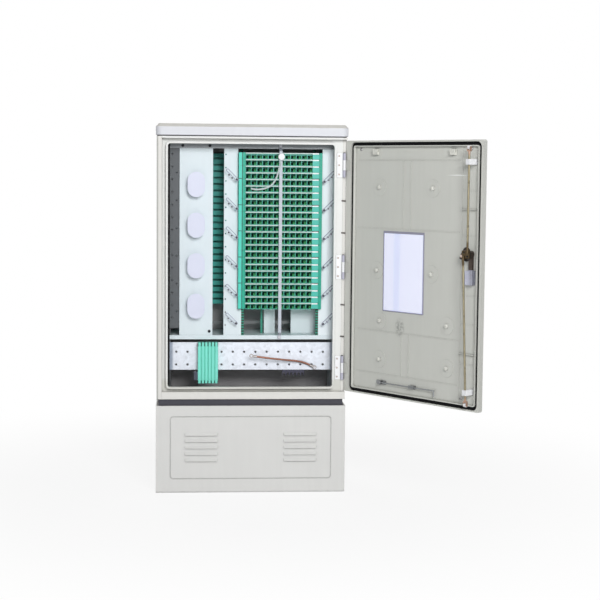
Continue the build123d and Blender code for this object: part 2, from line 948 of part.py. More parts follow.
# White wing panels beside the trays, wider under the stack
wing_left_span = (wing_left_edge, wing_left_edge + wing_left_width)
wing_right_span = (tray_right + wing_gap, tray_right + wing_gap + wing_right_width)
wing_z = (shelf_top + sheet_top) / 2
with BuildPart() as wing_left:
    block(wing_left_span, (rack_front, rack_front + sheet_wall), (shelf_top, sheet_top))
    block(
        (wing_left_span[1], tray_left + wing_left_foot),
        (rack_front, rack_front + sheet_wall),
        (shelf_top, foot_top),
    )
    with BuildSketch(front_plane(rack_front)):
        with Locations((wing_left_edge + wing_hole_inset, wing_z)):
            with GridLocations(0, wing_hole_share * (sheet_top - shelf_top), 1, wing_hole_count):
                Circle(wing_hole_radius)
    extrude(amount=-sheet_wall, mode=Mode.SUBTRACT)
save(wing_left, "wing_left")

with BuildPart() as wing_right:
    block(wing_right_span, (rack_front, rack_front + sheet_wall), (shelf_top, sheet_top))
    block(
        (tray_right - wing_right_foot, wing_right_span[0]),
        (rack_front, rack_front + sheet_wall),
        (shelf_top, foot_top),
    )
save(wing_right, "wing_right")

# Slanted open fibre rings, each on two short posts, six on each wing
ring_sets = [
    (sum(wing_left_span) / 2 + ring_left_shift, ring_left_drop_share, ring_left_pitch_share, -ring_tilt),
    (sum(wing_right_span) / 2, ring_right_drop_share, ring_right_pitch_share, ring_tilt),
]
with BuildPart() as fibre_rings:
    for ring_x, drop_share, pitch_share, tilt in ring_sets:
        post_offset = ring_length / 2 - ring_wire / 2
        post_x = post_offset * cos(radians(tilt))
        post_z = post_offset * sin(radians(tilt))
        for index in range(ring_count):
            ring_drop = (drop_share + index * pitch_share) * sheet_height
            ring_place = (ring_x, beam_base - ring_drop)
            with BuildSketch(front_plane(rack_front)):
                with Locations(ring_place):
                    with Locations((post_x, post_z), (-post_x, -post_z)):
                        Circle(ring_post_radius)
            extrude(amount=ring_reach - ring_wire)
            with BuildSketch(front_plane(rack_front - ring_reach + ring_wire)):
                with Locations(ring_place):
                    SlotOverall(ring_length, ring_width, rotation=tilt)
                    SlotOverall(
                        ring_length - 2 * ring_wire,
                        ring_width - 2 * ring_wire,
                        rotation=tilt,
                        mode=Mode.SUBTRACT,
                    )
            extrude(amount=ring_wire)
save(fibre_rings, "fibre_rings")

# One splice tray at the foot of the stack: floor, side walls, cell dividers and closed rear box
tray_span = (tray_left, tray_right)
tray_inner_left = tray_left + tray_outer_wall
tray_edge_left = tray_right - tray_edge_width
divider_front = tray_front + divider_setback
with BuildPart() as tray:
    block(tray_span, (tray_front + tray_edge_setback, tray_back), (tray_base, tray_base + tray_floor))
    block((tray_left, tray_inner_left), (tray_front, tray_back), (tray_base, tray_base + tray_height))
    block(
        (tray_inner_left, tray_cell_left),
        (tray_front + tray_inner_setback, tray_back),
        (tray_base, tray_base + tray_height),
    )
    block(
        (tray_cell_right, tray_edge_left),
        (divider_front, tray_box_front),
        (tray_base, tray_base + tray_floor + divider_height),
    )
    block(
        (tray_edge_left, tray_right),
        (tray_front + tray_edge_setback, tray_back),
        (tray_base, tray_base + tray_height),
    )
    block(
        (tray_cell_left, tray_edge_left),
        (tray_box_front, tray_back),
        (tray_base, tray_base + tray_floor + tray_box_height),
    )
    with BuildSketch(Plane.XY.offset(tray_base)):
        with Locations(((tray_cell_left + tray_cell_right) / 2, divider_front + divider_depth / 2)):
            with GridLocations(port_pitch, 0, port_count + 1, 1):
                Rectangle(divider_wall, divider_depth)
    extrude(amount=tray_floor + divider_height)

# The stack of trays, as an upper and a lower half
tray_half = tray_count // 2
with BuildPart() as splice_trays_lower:
    with Locations(*[(0, 0, row * tray_pitch) for row in range(tray_half)]):
        add(tray.part)
save(splice_trays_lower, "splice_trays_lower")

with BuildPart() as splice_trays_upper:
    with Locations(*[(0, 0, row * tray_pitch) for row in range(tray_half, tray_count)]):
        add(tray.part)
save(splice_trays_upper, "splice_trays_upper")

# White label strips along the tops of the cells
with BuildPart() as label_strips:
    for row in range(tray_count):
        strip_z = tray_base + row * tray_pitch + tray_floor + divider_height
        block(
            (tray_cell_left, tray_edge_left - divider_wall),
            (divider_front, divider_front + strip_wall),
            (strip_z, strip_z + strip_height),
        )
save(label_strips, "label_strips")

# One angled adapter on the tray floor, open at its front end
with BuildPart() as adapter:
    with BuildSketch(Plane.XY.offset(tray_base + tray_floor)):
        Rectangle(adapter_width, adapter_length)
    extrude(amount=adapter_height)
    with BuildSketch(front_plane(-adapter_length / 2)):
        with Locations((0, tray_base + tray_floor + adapter_height / 2)):
            Rectangle(adapter_bore_width, adapter_bore_height)
    extrude(amount=-adapter_bore_depth, mode=Mode.SUBTRACT)

# The adapters of every cell
adapter_y = tray_front + adapter_setback
with BuildPart() as port_adapters:
    for row in range(tray_count):
        places = [
            Location(
                (tray_cell_left + (port + 1 / 2) * port_pitch, adapter_y, row * tray_pitch),
                (0, 0, adapter_tilt),
            )
            for port in range(port_count)
        ]
        with Locations(*places):
            add(adapter.part)
save(port_adapters, "port_adapters")

# Toothed rails that carry the trays from behind, and their feet under the front of the stack
rail_front = tray_back
rail_height = rack_top - shelf_top - rack_sheet
with BuildPart() as tray_rails:
    for rail_x in (rail_left, rail_right):
        block(
            (rail_x, rail_x + rail_width),
            (rail_front, rail_front + rail_depth),
            (shelf_top, shelf_top + rail_height),
        )
    tooth_count = int(rail_height // tray_pitch)
    with BuildSketch(front_plane(rail_front)):
        for rail_x in (rail_left, rail_right):
            with Locations((rail_x + rail_width / 2, shelf_top + rail_height / 2)):
                with GridLocations(0, tray_pitch, 1, tooth_count):
                    Rectangle(rail_width, tray_pitch * rail_tooth_share)
    extrude(amount=-rail_tooth_depth, mode=Mode.SUBTRACT)
    for foot_x in (tray_left + wing_left_foot, tray_right - wing_right_foot - rail_width):
        block((foot_x, foot_x + rail_width), (rack_front, rack_front + rail_depth), (shelf_top, foot_top))
        with BuildSketch(front_plane(rack_front)):
            with Locations((foot_x + rail_width / 2, (shelf_top + foot_top) / 2)):
                with GridLocations(0, rail_foot_pitch, 1, int((foot_top - shelf_top) // rail_foot_pitch)):
                    Rectangle(rail_width, rail_foot_pitch / 2)
        extrude(amount=-rail_tooth_depth, mode=Mode.SUBTRACT)
save(tray_rails, "tray_rails")

# Two bars across the rack behind the rails
crossbar_front = rail_front + rail_depth
with BuildPart() as rear_crossbars:
    for bar_z in (shelf_top + crossbar_rise, beam_base - crossbar_height):
        block(rack_inner, (crossbar_front, crossbar_front + crossbar_wall), (bar_z, bar_z + crossbar_height))
save(rear_crossbars, "rear_crossbars")

# Rear store of splice trays on the back wall, with its row of slots
with BuildPart() as rear_splice_store:
    store_front = crossbar_front + crossbar_wall + rear_store_clearance
    rear_store_base = tray_base + rear_store_rise
    rear_store_height = tray_count * tray_pitch - rear_store_rise - rear_store_drop
    block(
        (rear_store_left, rear_store_left + rear_store_width),
        (store_front, inner_back_y),
        (rear_store_base, rear_store_base + rear_store_height),
    )
    with BuildSketch(front_plane(store_front)):
        with Locations((rear_store_left + rear_store_width / 2, rear_store_base + rear_store_height / 2)):
            with GridLocations(0, tray_pitch, 1, tray_count - 1):
                Rectangle(rear_store_width, rear_slot_height)
    extrude(amount=-rear_slot_depth, mode=Mode.SUBTRACT)
save(rear_splice_store, "rear_splice_store")

# Cranked bar that holds the trays in, bolted to beam and shelf
bar_seat = rack_front - rack_sheet
bar_back = bar_front + bar_wall
bar_low = shelf_lip_base
bar_high = rack_top
with BuildPart() as retaining_bar:
    with BuildSketch(side_plane(bar_left)):
        with BuildLine():
            Polyline(
                (bar_seat, bar_high),
                (bar_seat - bar_wall, bar_high),
                (bar_seat - bar_wall, bar_high - bar_foot),
                (bar_front, bar_high - bar_foot - bar_jog),
                (bar_front, bar_low + bar_foot + bar_jog),
                (bar_seat - bar_wall, bar_low + bar_foot),
                (bar_seat - bar_wall, bar_low),
                (bar_seat, bar_low),
                (bar_seat, bar_low + bar_foot + bar_wall),
                (bar_back, bar_low + bar_foot + bar_jog + bar_wall),
                (bar_back, bar_high - bar_foot - bar_jog - bar_wall),
                (bar_seat, bar_high - bar_foot - bar_wall),
                close=True,
            )
        make_face()
    extrude(amount=bar_width)
save(retaining_bar, "retaining_bar")

# White thumb screw on the bar
thumb_x = bar_left + bar_width - thumb_inset
with BuildPart() as bar_thumbscrew:
    with BuildSketch(front_plane(bar_front)):
        with Locations((thumb_x, thumb_z)):
            Circle(thumb_radius)
    extrude(amount=thumb_height)
    fillet(bar_thumbscrew.edges().group_by(Axis.Y)[0], thumb_height * thumb_round_share)
save(bar_thumbscrew, "bar_thumbscrew")

# Nylon tie that hangs from the thumb screw in a curve
tie_top = (bar_left + bar_width / 2, thumb_z - thumb_radius)
with BuildPart() as bar_tie:
    with BuildSketch(front_plane(bar_front)):
        with BuildLine():
            Spline(*[(tie_top[0] + across, tie_top[1] + up) for across, up in tie_offsets])
        trace(line_width=tie_width)
    extrude(amount=tie_wall)
save(bar_tie, "bar_tie")

# White covers and the spare post on the shelf under the trays
shield_front = rack_front + shield_setback
with BuildPart() as lower_shields:
    for inset, width in ((shield_low_inset, shield_low_width), (shield_wide_inset, shield_wide_width)):
        block(
            (tray_left + inset, tray_left + inset + width),
            (shield_front, shield_front + sheet_wall),
            (shelf_top, shelf_top + shield_height),
        )
    block(
        (tray_left + post_inset, tray_left + post_inset + post_width),
        (shield_front, shield_front + post_width),
        (shelf_top, shelf_top + shield_height),
    )
save(lower_shields, "lower_shields")

# Perforated earth plate across the cable compartment
plate_z = plate_base + plate_height / 2
with BuildPart() as earth_plate:
    block(
        (rack_left, rack_right),
        (rack_front - plate_wall, rack_front),
        (plate_base, plate_base + plate_height),
    )
    with BuildSketch(front_plane(rack_front)):
        with Locations(((rack_left + rack_right) / 2 - plate_hole_shift, plate_z - plate_hole_drop)):
            with GridLocations(plate_hole_share * rack_width, plate_hole_row_pitch, plate_hole_columns, 2):
                Circle(plate_hole_radius)
    extrude(amount=plate_wall, mode=Mode.SUBTRACT)
save(earth_plate, "earth_plate")

# Grooved tube guide on the earth plate
guide_left = rack_left + tube_guide_inset
guide_right = guide_left + tube_guide_width
guide_base = plate_base - tube_guide_drop
guide_top = guide_base + tube_guide_height
guide_front = plate_face - tube_guide_depth
guide_centre = ((guide_left + guide_right) / 2, (guide_base + guide_top) / 2)
with BuildPart() as tube_guide:
    block((guide_left, guide_right), (guide_front, plate_face), (guide_base, guide_top))
    with BuildSketch(front_plane(guide_front)):
        with Locations(guide_centre):
            with GridLocations(tube_guide_width / (groove_count + 1), 0, groove_count, 1):
                Rectangle(groove_width, tube_guide_height)
    extrude(amount=-groove_depth, mode=Mode.SUBTRACT)
    with BuildSketch(front_plane(guide_front)):
        with Locations(guide_centre):
            with GridLocations(0, tube_guide_height - 2 * groove_cross_height, 1, 2):
                Rectangle(tube_guide_width, groove_width)
    extrude(amount=-groove_depth / 2, mode=Mode.SUBTRACT)
    block(
        (guide_left - guide_ear_width, guide_left),
        (guide_front, guide_front + guide_ear_depth),
        (guide_base + guide_ear_rise, guide_base + guide_ear_rise + guide_ear_height),
    )
save(tube_guide, "tube_guide")

# Comb that hangs from the back of the earth plate
comb_left = rack_right - comb_inset
with BuildPart() as comb_bracket:
    block(
        (comb_left, comb_left + comb_width),
        (rack_front, rack_front + rack_sheet),
        (plate_base - comb_drop, plate_base + comb_hold),
    )
    with BuildSketch(front_plane(rack_front)):
        with Locations((comb_left + comb_width / 2, plate_base - comb_drop + comb_slot_height / 2)):
            with GridLocations(comb_width / comb_slot_count, 0, comb_slot_count, 1):
                Rectangle(comb_slot_width, comb_slot_height)
    extrude(amount=-rack_sheet, mode=Mode.SUBTRACT)
save(comb_bracket, "comb_bracket")

# Copper earth lead: straight runs joined by the largest arcs that fit
runs = [Vector(*b) - Vector(*a) for a, b in zip(lead_route, lead_route[1:])]
lead_radii = []
for before, after in zip(runs, runs[1:]):
    half_turn = radians(before.get_angle(after)) / 2
    lead_radii.append(lead_bend_share * min(before.length, after.length) / tan(half_turn))
print("lead bend radii", [round(value) for value in lead_radii])
with BuildPart() as earth_lead:
    with BuildLine() as lead_path:
        FilletPolyline(*lead_route, radius=lead_radii)
    with BuildSketch(Plane(origin=lead_route[0], z_dir=runs[0])):
        Circle(lead_radius)
    sweep()
lead_length = sum(edge.length for edge in lead_path.edges())
print("lead length", round(lead_length, 1), "volume", round(earth_lead.part.volume))
save(earth_lead, "earth_lead")


def ring_lug(end, run):
    """A ring lug whose barrel starts at a lead's end and points along a run in an upright plane."""
    along = run.normalized()
    ring_run = lug_barrel_length + lug_ring_radius
    round_bar(end, along, lug_barrel_radius, lug_barrel_length)
    face = Plane(origin=Vector(*end) + Vector(0, lug_wall / 2, 0), x_dir=along, z_dir=(0, -1, 0))
    with BuildSketch(face) as tongue:
        with Locations((ring_run, 0)):
            Circle(lug_ring_radius)
        with Locations((lug_barrel_length, 0)):
            Rectangle(lug_barrel_length, 2 * lug_barrel_radius)
        with Locations((ring_run, 0)):
            Circle(lug_hole_radius, mode=Mode.SUBTRACT)
    extrude(tongue.sketch, amount=lug_wall)
    return Vector(*end) + along * ring_run


# Ring lugs at the two ends of the lead, the fixed one on a spacer against the plate
fixed_end = lead_route[0]
free_end = lead_route[-1]
with BuildPart() as fixed_lug:
    fixed_ring = ring_lug(fixed_end, -runs[0])
    with BuildSketch(front_plane(plate_face)):
        with Locations((fixed_ring.X, fixed_ring.Z)):
            Circle(lug_ring_radius)
            Circle(lug_hole_radius, mode=Mode.SUBTRACT)
    extrude(amount=plate_face - fixed_end[1] - lug_wall / 2)
save(fixed_lug, "fixed_lug")

with BuildPart() as free_lug:
    ring_lug(free_end, runs[-1])
save(free_lug, "free_lug")

# Fixed hinge leaves, each with an upper and a lower knuckle
leaf_left = hinge_x - hinge_leaf_width
knuckle_length = (hinge_height - hinge_middle) / 2
bore_radius = hinge_pin_radius + hinge_pin_clearance
with BuildPart() as hinge_leaves:
    for hinge_z in hinge_zs:
        low = hinge_z - hinge_height / 2
        block((leaf_left, hinge_x), (rebate_y - hinge_leaf_wall, rebate_y), (low, low + hinge_height))
        middle_reach = hinge_middle / 2 + hinge_middle_clearance
        block(
            (hinge_x - hinge_knuckle_radius - hinge_notch_clearance, hinge_x),
            (rebate_y - hinge_leaf_wall, rebate_y),
            (hinge_z - middle_reach, hinge_z + middle_reach),
            mode=Mode.SUBTRACT,
        )
        for knuckle_z in (low, low + hinge_height - knuckle_length + hinge_middle_clearance):
            round_bar(
                (hinge_x, hinge_y, knuckle_z),
                (0, 0, 1),
                hinge_knuckle_radius,
                knuckle_length - hinge_middle_clearance,
            )
        round_bar((hinge_x, hinge_y, low), (0, 0, 1), bore_radius, hinge_height, mode=Mode.SUBTRACT)
save(hinge_leaves, "hinge_leaves")

# Headed hinge pins
with BuildPart() as hinge_pins:
    for hinge_z in hinge_zs:
        low = hinge_z - hinge_height / 2
        round_bar((hinge_x, hinge_y, low), (0, 0, 1), hinge_pin_radius, hinge_height)
        round_bar(
            (hinge_x, hinge_y, low + hinge_height), (0, 0, 1), hinge_pin_head_radius, hinge_pin_head_height
        )
save(hinge_pins, "hinge_pins")

# Screws of the hinge leaves, and the bolts of the slack panel, the bar and the fixed lug
leaf_face = rebate_y - hinge_leaf_wall
slack_bolt_x = slack_x + slack_bolt_offset
bolt_places = [
    (slack_x - slack_bolt_offset, bar_seat, beam_base + beam_height / 2),
    (slack_bolt_x, bar_seat, beam_base + beam_height / 2),
    (slack_bolt_x, rack_front, shelf_top + shelf_lip),
    (bar_left + bar_width / 2, bar_seat - bar_wall, bar_high - bar_foot / 2),
    (bar_left + bar_width / 2, bar_seat - bar_wall, bar_low + bar_foot / 2),
    (fixed_ring.X, fixed_end[1] - lug_wall / 2, fixed_ring.Z),
]
with BuildPart() as cabinet_screws:
    for hinge_z in hinge_zs:
        with BuildSketch(front_plane(leaf_face)):
            with Locations((leaf_left + hinge_screw_inset, hinge_z)):
                with GridLocations(0, hinge_screw_pitch, 1, len(hinge_zs)):
                    Circle(hinge_screw_radius)
        extrude(amount=hinge_screw_height)
    for x, y, z in bolt_places:
        with BuildSketch(front_plane(y)):
            with Locations((x, z)):
                RegularPolygon(bolt_head_radius, 6)
        extrude(amount=bolt_head_height)
save(cabinet_screws, "cabinet_screws")

# Door shell: skin, rim, gasket channel wall and the embossing of its inner face
lip_centre = lip_width / 2
gasket_left_u = hinge_x - opening_right - lip_centre
gasket_right_u = hinge_x - opening_left + lip_centre
gasket_low = opening_base - lip_centre
gasket_high = opening_base + opening_height + lip_centre
gasket_centre = ((gasket_left_u + gasket_right_u) / 2, (gasket_low + gasket_high) / 2)
gasket_span = (gasket_right_u - gasket_left_u, gasket_high - gasket_low)
gasket_outer = [size + gasket_width for size in gasket_span]
gasket_inner = [size - gasket_width for size in gasket_span]
gasket_radius = opening_radius + lip_centre
channel_outer = [size + 2 * gasket_side_clearance for size in gasket_outer]
channel_inner = [size - 2 * gasket_side_clearance for size in gasket_inner]
wall_inner = [size - 2 * gasket_wall for size in channel_inner]
door_centre = (door_hinge_edge + door_width / 2, door_base + door_height / 2)
with BuildPart() as door_shell:
    with BuildSketch(door_face(door_outer)):
        with Locations(door_centre):
            RectangleRounded(door_width, door_height, door_corner)
    extrude(amount=door_skin)
    with BuildSketch(door_face(door_panel)):
        with Locations(door_centre):
            RectangleRounded(door_width, door_height, door_corner)
        with Locations(gasket_centre):
            RectangleRounded(*channel_outer, gasket_radius + gasket_width / 2, mode=Mode.SUBTRACT)
    extrude(amount=door_depth - door_skin)
    ring_frame(
        door_face(door_panel),
        gasket_centre,
        channel_inner,
        wall_inner,
        (gasket_radius - gasket_width / 2, gasket_radius - gasket_width / 2 - gasket_wall / 2),
        door_depth - door_skin - gasket_wall_drop,
    )
    with BuildSketch(door_face(door_panel)):
        with Locations(*disc_places):
            Circle(disc_radius)
    extrude(amount=emboss_rise)
    with BuildSketch(door_face(door_panel)):
        with Locations(*disc_places):
            Circle(disc_boss_radius)
    extrude(amount=disc_boss_rise)
    for level in rib_levels:
        door_block(
            (rib_left, rib_right), (door_panel, door_panel + emboss_rise), (level, level + rib_width)
        )
    for rib_u in rib_column_us:
        for low, high in ((rib_levels[1], rib_levels[0]), (rib_levels[3], rib_levels[2])):
            door_block((rib_u, rib_u + rib_width), (door_panel, door_panel + emboss_rise), (low, high))
    for rib_u in channel_us:
        door_block(
            (rib_u, rib_u + rib_width), (door_panel, door_panel + emboss_rise), (channel_base, channel_top)
        )
    for share, rise in ledges:
        ledge_z = door_base + share * door_height
        door_block(channel_us, (door_panel, door_panel + rise), (ledge_z, ledge_z + rib_width))
    with BuildSketch(door_face(door_outer)):
        with Locations((lock_u, lock_z)):
            Circle(spindle_radius + skin_hole_clearance)
    extrude(amount=door_depth, mode=Mode.SUBTRACT)
save(door_shell, "door_shell")

# Rubber gasket in its channel
gasket_face = hinge_y - rebate_y + lip_height + gasket_clearance
with BuildPart() as door_gasket:
    ring_frame(
        door_face(door_panel),
        gasket_centre,
        gasket_outer,
        gasket_inner,
        (gasket_radius + gasket_width / 2, gasket_radius - gasket_width / 2),
        -gasket_face - door_panel,
    )
save(door_gasket, "door_gasket")

# Moving hinge leaves with their middle knuckles
rim_d = -door_rim_setback
with BuildPart() as door_hinge_leaves:
    for hinge_z in hinge_zs:
        span = (hinge_z - hinge_middle / 2, hinge_z + hinge_middle / 2)
        round_bar((hinge_x, hinge_y, span[0]), (0, 0, 1), hinge_knuckle_radius, hinge_middle)
        door_block((0, gasket_left_u - gasket_width), (rim_d, rim_d + hinge_leaf_wall), span)
        round_bar((hinge_x, hinge_y, span[0]), (0, 0, 1), bore_radius, hinge_middle, mode=Mode.SUBTRACT)
save(door_hinge_leaves, "door_hinge_leaves")

# Document pocket: thin backing and a border on three sides over the sheet
sheet_d = door_panel + pocket_backing
border_d = sheet_d + sheet_thickness
with BuildPart() as document_pocket:
    door_block((pocket_left, pocket_right), (door_panel, sheet_d), (pocket_base, pocket_top))
    for span in ((pocket_left, pocket_left + sheet_margin), (pocket_right - sheet_margin, pocket_right)):
        door_block(span, (sheet_d, border_d + pocket_backing), (pocket_base, pocket_top))
    door_block(
        (pocket_left, pocket_right),
        (sheet_d, border_d + pocket_backing),
        (pocket_base, pocket_base + sheet_margin),
    )
    for span in ((pocket_left, pocket_left + pocket_border), (pocket_right - pocket_border, pocket_right)):
        door_block(span, (border_d, border_d + pocket_backing), (pocket_base, pocket_top))
    door_block(
        (pocket_left, pocket_right),
        (border_d, border_d + pocket_backing),
        (pocket_base, pocket_base + pocket_border),
    )
save(document_pocket, "document_pocket")

# Blank sheet in the pocket
with BuildPart() as document_sheet:
    door_block(
        (pocket_left + sheet_margin, pocket_right - sheet_margin),
        (sheet_d, border_d),
        (pocket_base + sheet_margin, pocket_top - pocket_header),
    )
save(document_sheet, "document_sheet")

# Guides that hold the rods off the door
rod_slope = (rod_lower_end_u - rod_lower_top_u) / (lock_z - roller_lower_z)
guide_lower_u = rod_lower_top_u + (lock_z - guide_lower_z) * rod_slope
guide_reach = rod_depth + rod_radius + guide_block_cover
rod_bore = rod_radius + rod_clearance
lower_way = along_u * (rod_lower_end_u - rod_lower_top_u) + Vector(0, 0, roller_lower_z - lock_z)
lower_way = lower_way.normalized()
with BuildPart() as rod_guides:
    for guide_u, guide_z in ((rod_upper_u, guide_upper_z), (guide_lower_u, guide_lower_z)):
        door_block(
            (guide_u - guide_block_width / 2, guide_u + guide_block_width / 2),
            (door_panel + emboss_rise, guide_reach),
            (guide_z - guide_block_height / 2, guide_z + guide_block_height / 2),
        )
        door_block(
            (guide_u - guide_block_width / 2, channel_us[1]),
            (door_panel, door_panel + emboss_rise),
            (guide_z - guide_block_height / 2, guide_z + guide_block_height / 2),
        )
    round_bar(
        door_point(rod_upper_u, rod_depth, guide_upper_z - guide_block_height),
        (0, 0, 1),
        rod_bore,
        2 * guide_block_height,
        mode=Mode.SUBTRACT,
    )
    round_bar(
        door_point(guide_lower_u, rod_depth, guide_lower_z) - lower_way * guide_block_height,
        lower_way,
        rod_bore,
        2 * guide_block_height,
        mode=Mode.SUBTRACT,
    )
save(rod_guides, "rod_guides")

# Lock body: cylinder housing below, strap, and the bush round the spindle
bush_end = door_panel + bush_reach
lock_low = lock_z - lock_box_drop
with BuildPart() as lock_body:
    door_block(
        (lock_u - lock_box_width / 2, lock_u + lock_box_width / 2),
        (door_panel, door_panel + lock_box_depth),
        (lock_low, lock_low + lock_box_height),
    )
    door_block(
        (lock_u - lock_strap_width / 2, lock_u + lock_strap_width / 2),
        (door_panel, door_panel + lock_strap_depth),
        (lock_low, lock_z),
    )
    with BuildSketch(door_face(door_panel)):
        with Locations((lock_u, lock_z)):
            Circle(bush_radius)
    extrude(amount=bush_reach)
    with BuildSketch(door_face(door_panel)):
        with Locations((lock_u, lock_z)):
            Circle(spindle_radius + spindle_clearance)
    extrude(amount=bush_reach, mode=Mode.SUBTRACT)
save(lock_body, "lock_body")

# Hooks, stay bracket with its pin, and stay clip
stay_d = door_panel + stay_lift
stay_low = stay_z - stay_eye_height / 2
with BuildPart() as door_brackets:
    for hook_u in hook_us:
        hook_span = (hook_u - hook_width / 2, hook_u + hook_width / 2)
        hook_z_span = (hook_z - hook_height / 2, hook_z + hook_height / 2)
        door_block(hook_span, (door_panel, door_panel + hook_depth), hook_z_span)
        door_block(
            hook_span,
            (door_panel + hook_slot / 2, door_panel + hook_depth - hook_slot / 2),
            (hook_z, hook_z + hook_height),
            mode=Mode.SUBTRACT,
        )
    stay_plate = (stay_pivot_u - stay_plate_width / 2, stay_pivot_u + stay_plate_width / 2)
    plate_low = stay_low - stay_lug_wall - stay_clearance
    plate_high = stay_low + stay_eye_height + stay_clearance + stay_lug_wall
    door_block(stay_plate, (door_panel, door_panel + stay_plate_wall), (plate_low, plate_high))
    lug_span = (stay_pivot_u - stay_eye_radius, stay_pivot_u + stay_eye_radius)
    lug_end = stay_d + stay_eye_radius
    door_block(lug_span, (door_panel, lug_end), (plate_low, plate_low + stay_lug_wall))
    door_block(lug_span, (door_panel, lug_end), (plate_high - stay_lug_wall, plate_high))
    round_bar(
        door_point(stay_pivot_u, stay_d, plate_low), (0, 0, 1), stay_pin_radius, plate_high - plate_low
    )
    clip_span = (clip_u - clip_width / 2, clip_u + clip_width / 2)
    clip_low = stay_z - stay_radius - stay_clearance - clip_wall
    clip_high = stay_z + stay_radius + stay_clearance + clip_wall
    door_block(clip_span, (door_panel, stay_d + stay_radius), (clip_low, clip_high))
    door_block(
        clip_span,
        (stay_d - stay_radius - stay_clearance, stay_d + stay_radius),
        (clip_low + clip_wall, clip_high - clip_wall),
        mode=Mode.SUBTRACT,
    )
save(door_brackets, "door_brackets")

# Door stay: eye on the bracket pin, straight rod and turned-down tip
with BuildPart() as door_stay:
    round_bar(door_point(stay_pivot_u, stay_d, stay_low), (0, 0, 1), stay_eye_radius, stay_eye_height)
    round_bar(door_point(stay_pivot_u, stay_d, stay_z), along_u, stay_radius, stay_reach)
    round_bar(
        door_point(stay_pivot_u + stay_reach - stay_radius, stay_d, stay_z), (0, 0, -1), stay_radius, stay_tip
    )
    round_bar(
        door_point(stay_pivot_u, stay_d, stay_low),
        (0, 0, 1),
        stay_pin_radius + stay_pin_clearance,
        stay_eye_height,
        mode=Mode.SUBTRACT,
    )
save(door_stay, "door_stay")

# Outside handle plate
plate_outer = door_outer - handle_plate_wall
plate_top = lock_z + handle_plate_rise
with BuildPart() as handle_plate:
    with BuildSketch(door_face(plate_outer)):
        with Locations((lock_u, plate_top - handle_plate_height / 2)):
            RectangleRounded(
                handle_plate_width, handle_plate_height, handle_plate_width * handle_plate_round_share
            )
        with Locations((lock_u, lock_z)):
            Circle(spindle_radius + spindle_clearance, mode=Mode.SUBTRACT)
    extrude(amount=handle_plate_wall)
save(handle_plate, "handle_plate")

# Spindle with the crank inside the door and the handle head outside
crank_d = bush_end + crank_gap
crank_face = crank_d + crank_wall
head_d = plate_outer - handle_gap
head_out = head_d - handle_head_depth
lift_d = head_d - handle_head_depth / 2
pin_rest = radians(crank_rest_angle)
pin_offset = (crank_pin_offset * cos(pin_rest), crank_pin_offset * sin(pin_rest))
pin_places = [
    (lock_u + pin_offset[0], lock_z + pin_offset[1]),
    (lock_u - pin_offset[0], lock_z - pin_offset[1]),
]
tab_face = crank_face + rod_clearance
pin_length = rod_clearance + rod_tab_wall + rod_clearance
with BuildPart() as lock_crank:
    with BuildSketch(door_face(head_d)):
        with Locations((lock_u, lock_z)):
            Circle(spindle_radius)
    extrude(amount=crank_d - head_d)
    with BuildSketch(door_face(crank_d)):
        with Locations((lock_u, lock_z)):
            SlotOverall(crank_height, crank_width, rotation=90)
        arm_corners = [(lock_u + across, lock_z + up) for across, up in crank_arm_corners]
        with BuildLine():
            ThreePointArc(*[(lock_u + across, lock_z + up) for across, up in crank_arm_curve])
            Polyline(*arm_corners)
        make_face()
    extrude(amount=crank_wall)
    with BuildSketch(door_face(crank_face)):
        with Locations(*pin_places):
            Circle(crank_pin_radius)
    extrude(amount=pin_length)
    door_block(
        (lock_u - handle_head_size / 2, lock_u + handle_head_size / 2),
        (head_out, head_d),
        (lock_z - handle_head_width / 2, lock_z + handle_head_width / 2),
    )
    round_bar(
        door_point(lock_u, lift_d, lock_z - handle_head_width),
        (0, 0, 1),
        handle_pivot_radius + spindle_clearance,
        2 * handle_head_width,
        mode=Mode.SUBTRACT,
    )
save(lock_crank, "lock_crank")

# Outside handle, lying to the side as the lock is open, with the pivot pin through its cheeks
cheek_inner = handle_head_width / 2 + handle_cheek_gap
cheek_outer = handle_width / 2
handle_start = handle_head_size / 2 + handle_neck_gap
handle_out = lift_d - handle_thickness / 2
handle_d_span = (handle_out, handle_out + handle_thickness)
handle_end = lock_u - handle_start
with BuildPart() as handle:
    door_block(
        (handle_end - handle_length, handle_end),
        handle_d_span,
        (lock_z - cheek_outer, lock_z + cheek_outer),
    )
    for side in (-1, 1):
        cheek_span = sorted((lock_z + side * cheek_inner, lock_z + side * cheek_outer))
        round_bar(
            door_point(lock_u, lift_d, cheek_span[0]),
            (0, 0, 1),
            handle_cheek_radius,
            cheek_span[1] - cheek_span[0],
        )
        door_block((handle_end, lock_u), handle_d_span, cheek_span)
    round_bar(door_point(lock_u, lift_d, lock_z - cheek_outer), (0, 0, 1), handle_pivot_radius, handle_width)
save(handle, "handle")


def rod_end_tab(pin_u, pin_z, way):
    """A slotted tab round a crank pin, reaching from the pin towards the rod by the sign of way."""
    slot_u = (
        pin_u - crank_pin_radius - rod_slot_clearance - (rod_slot_run if pin_u < lock_u else 0),
        pin_u + crank_pin_radius + rod_slot_clearance + (rod_slot_run if pin_u > lock_u else 0),
    )
    slot_reach = crank_pin_radius + rod_slot_clearance
    tab_z = sorted((pin_z - way * (slot_reach + rod_tab_margin), pin_z + way * rod_tab_drop))
    door_block(
        (slot_u[0] - rod_tab_margin, slot_u[1] + rod_tab_margin), (tab_face, tab_face + rod_tab_wall), tab_z
    )
    door_block(
        slot_u,
        (tab_face, tab_face + rod_tab_wall),
        (pin_z - slot_reach, pin_z + slot_reach),
        mode=Mode.SUBTRACT,
    )


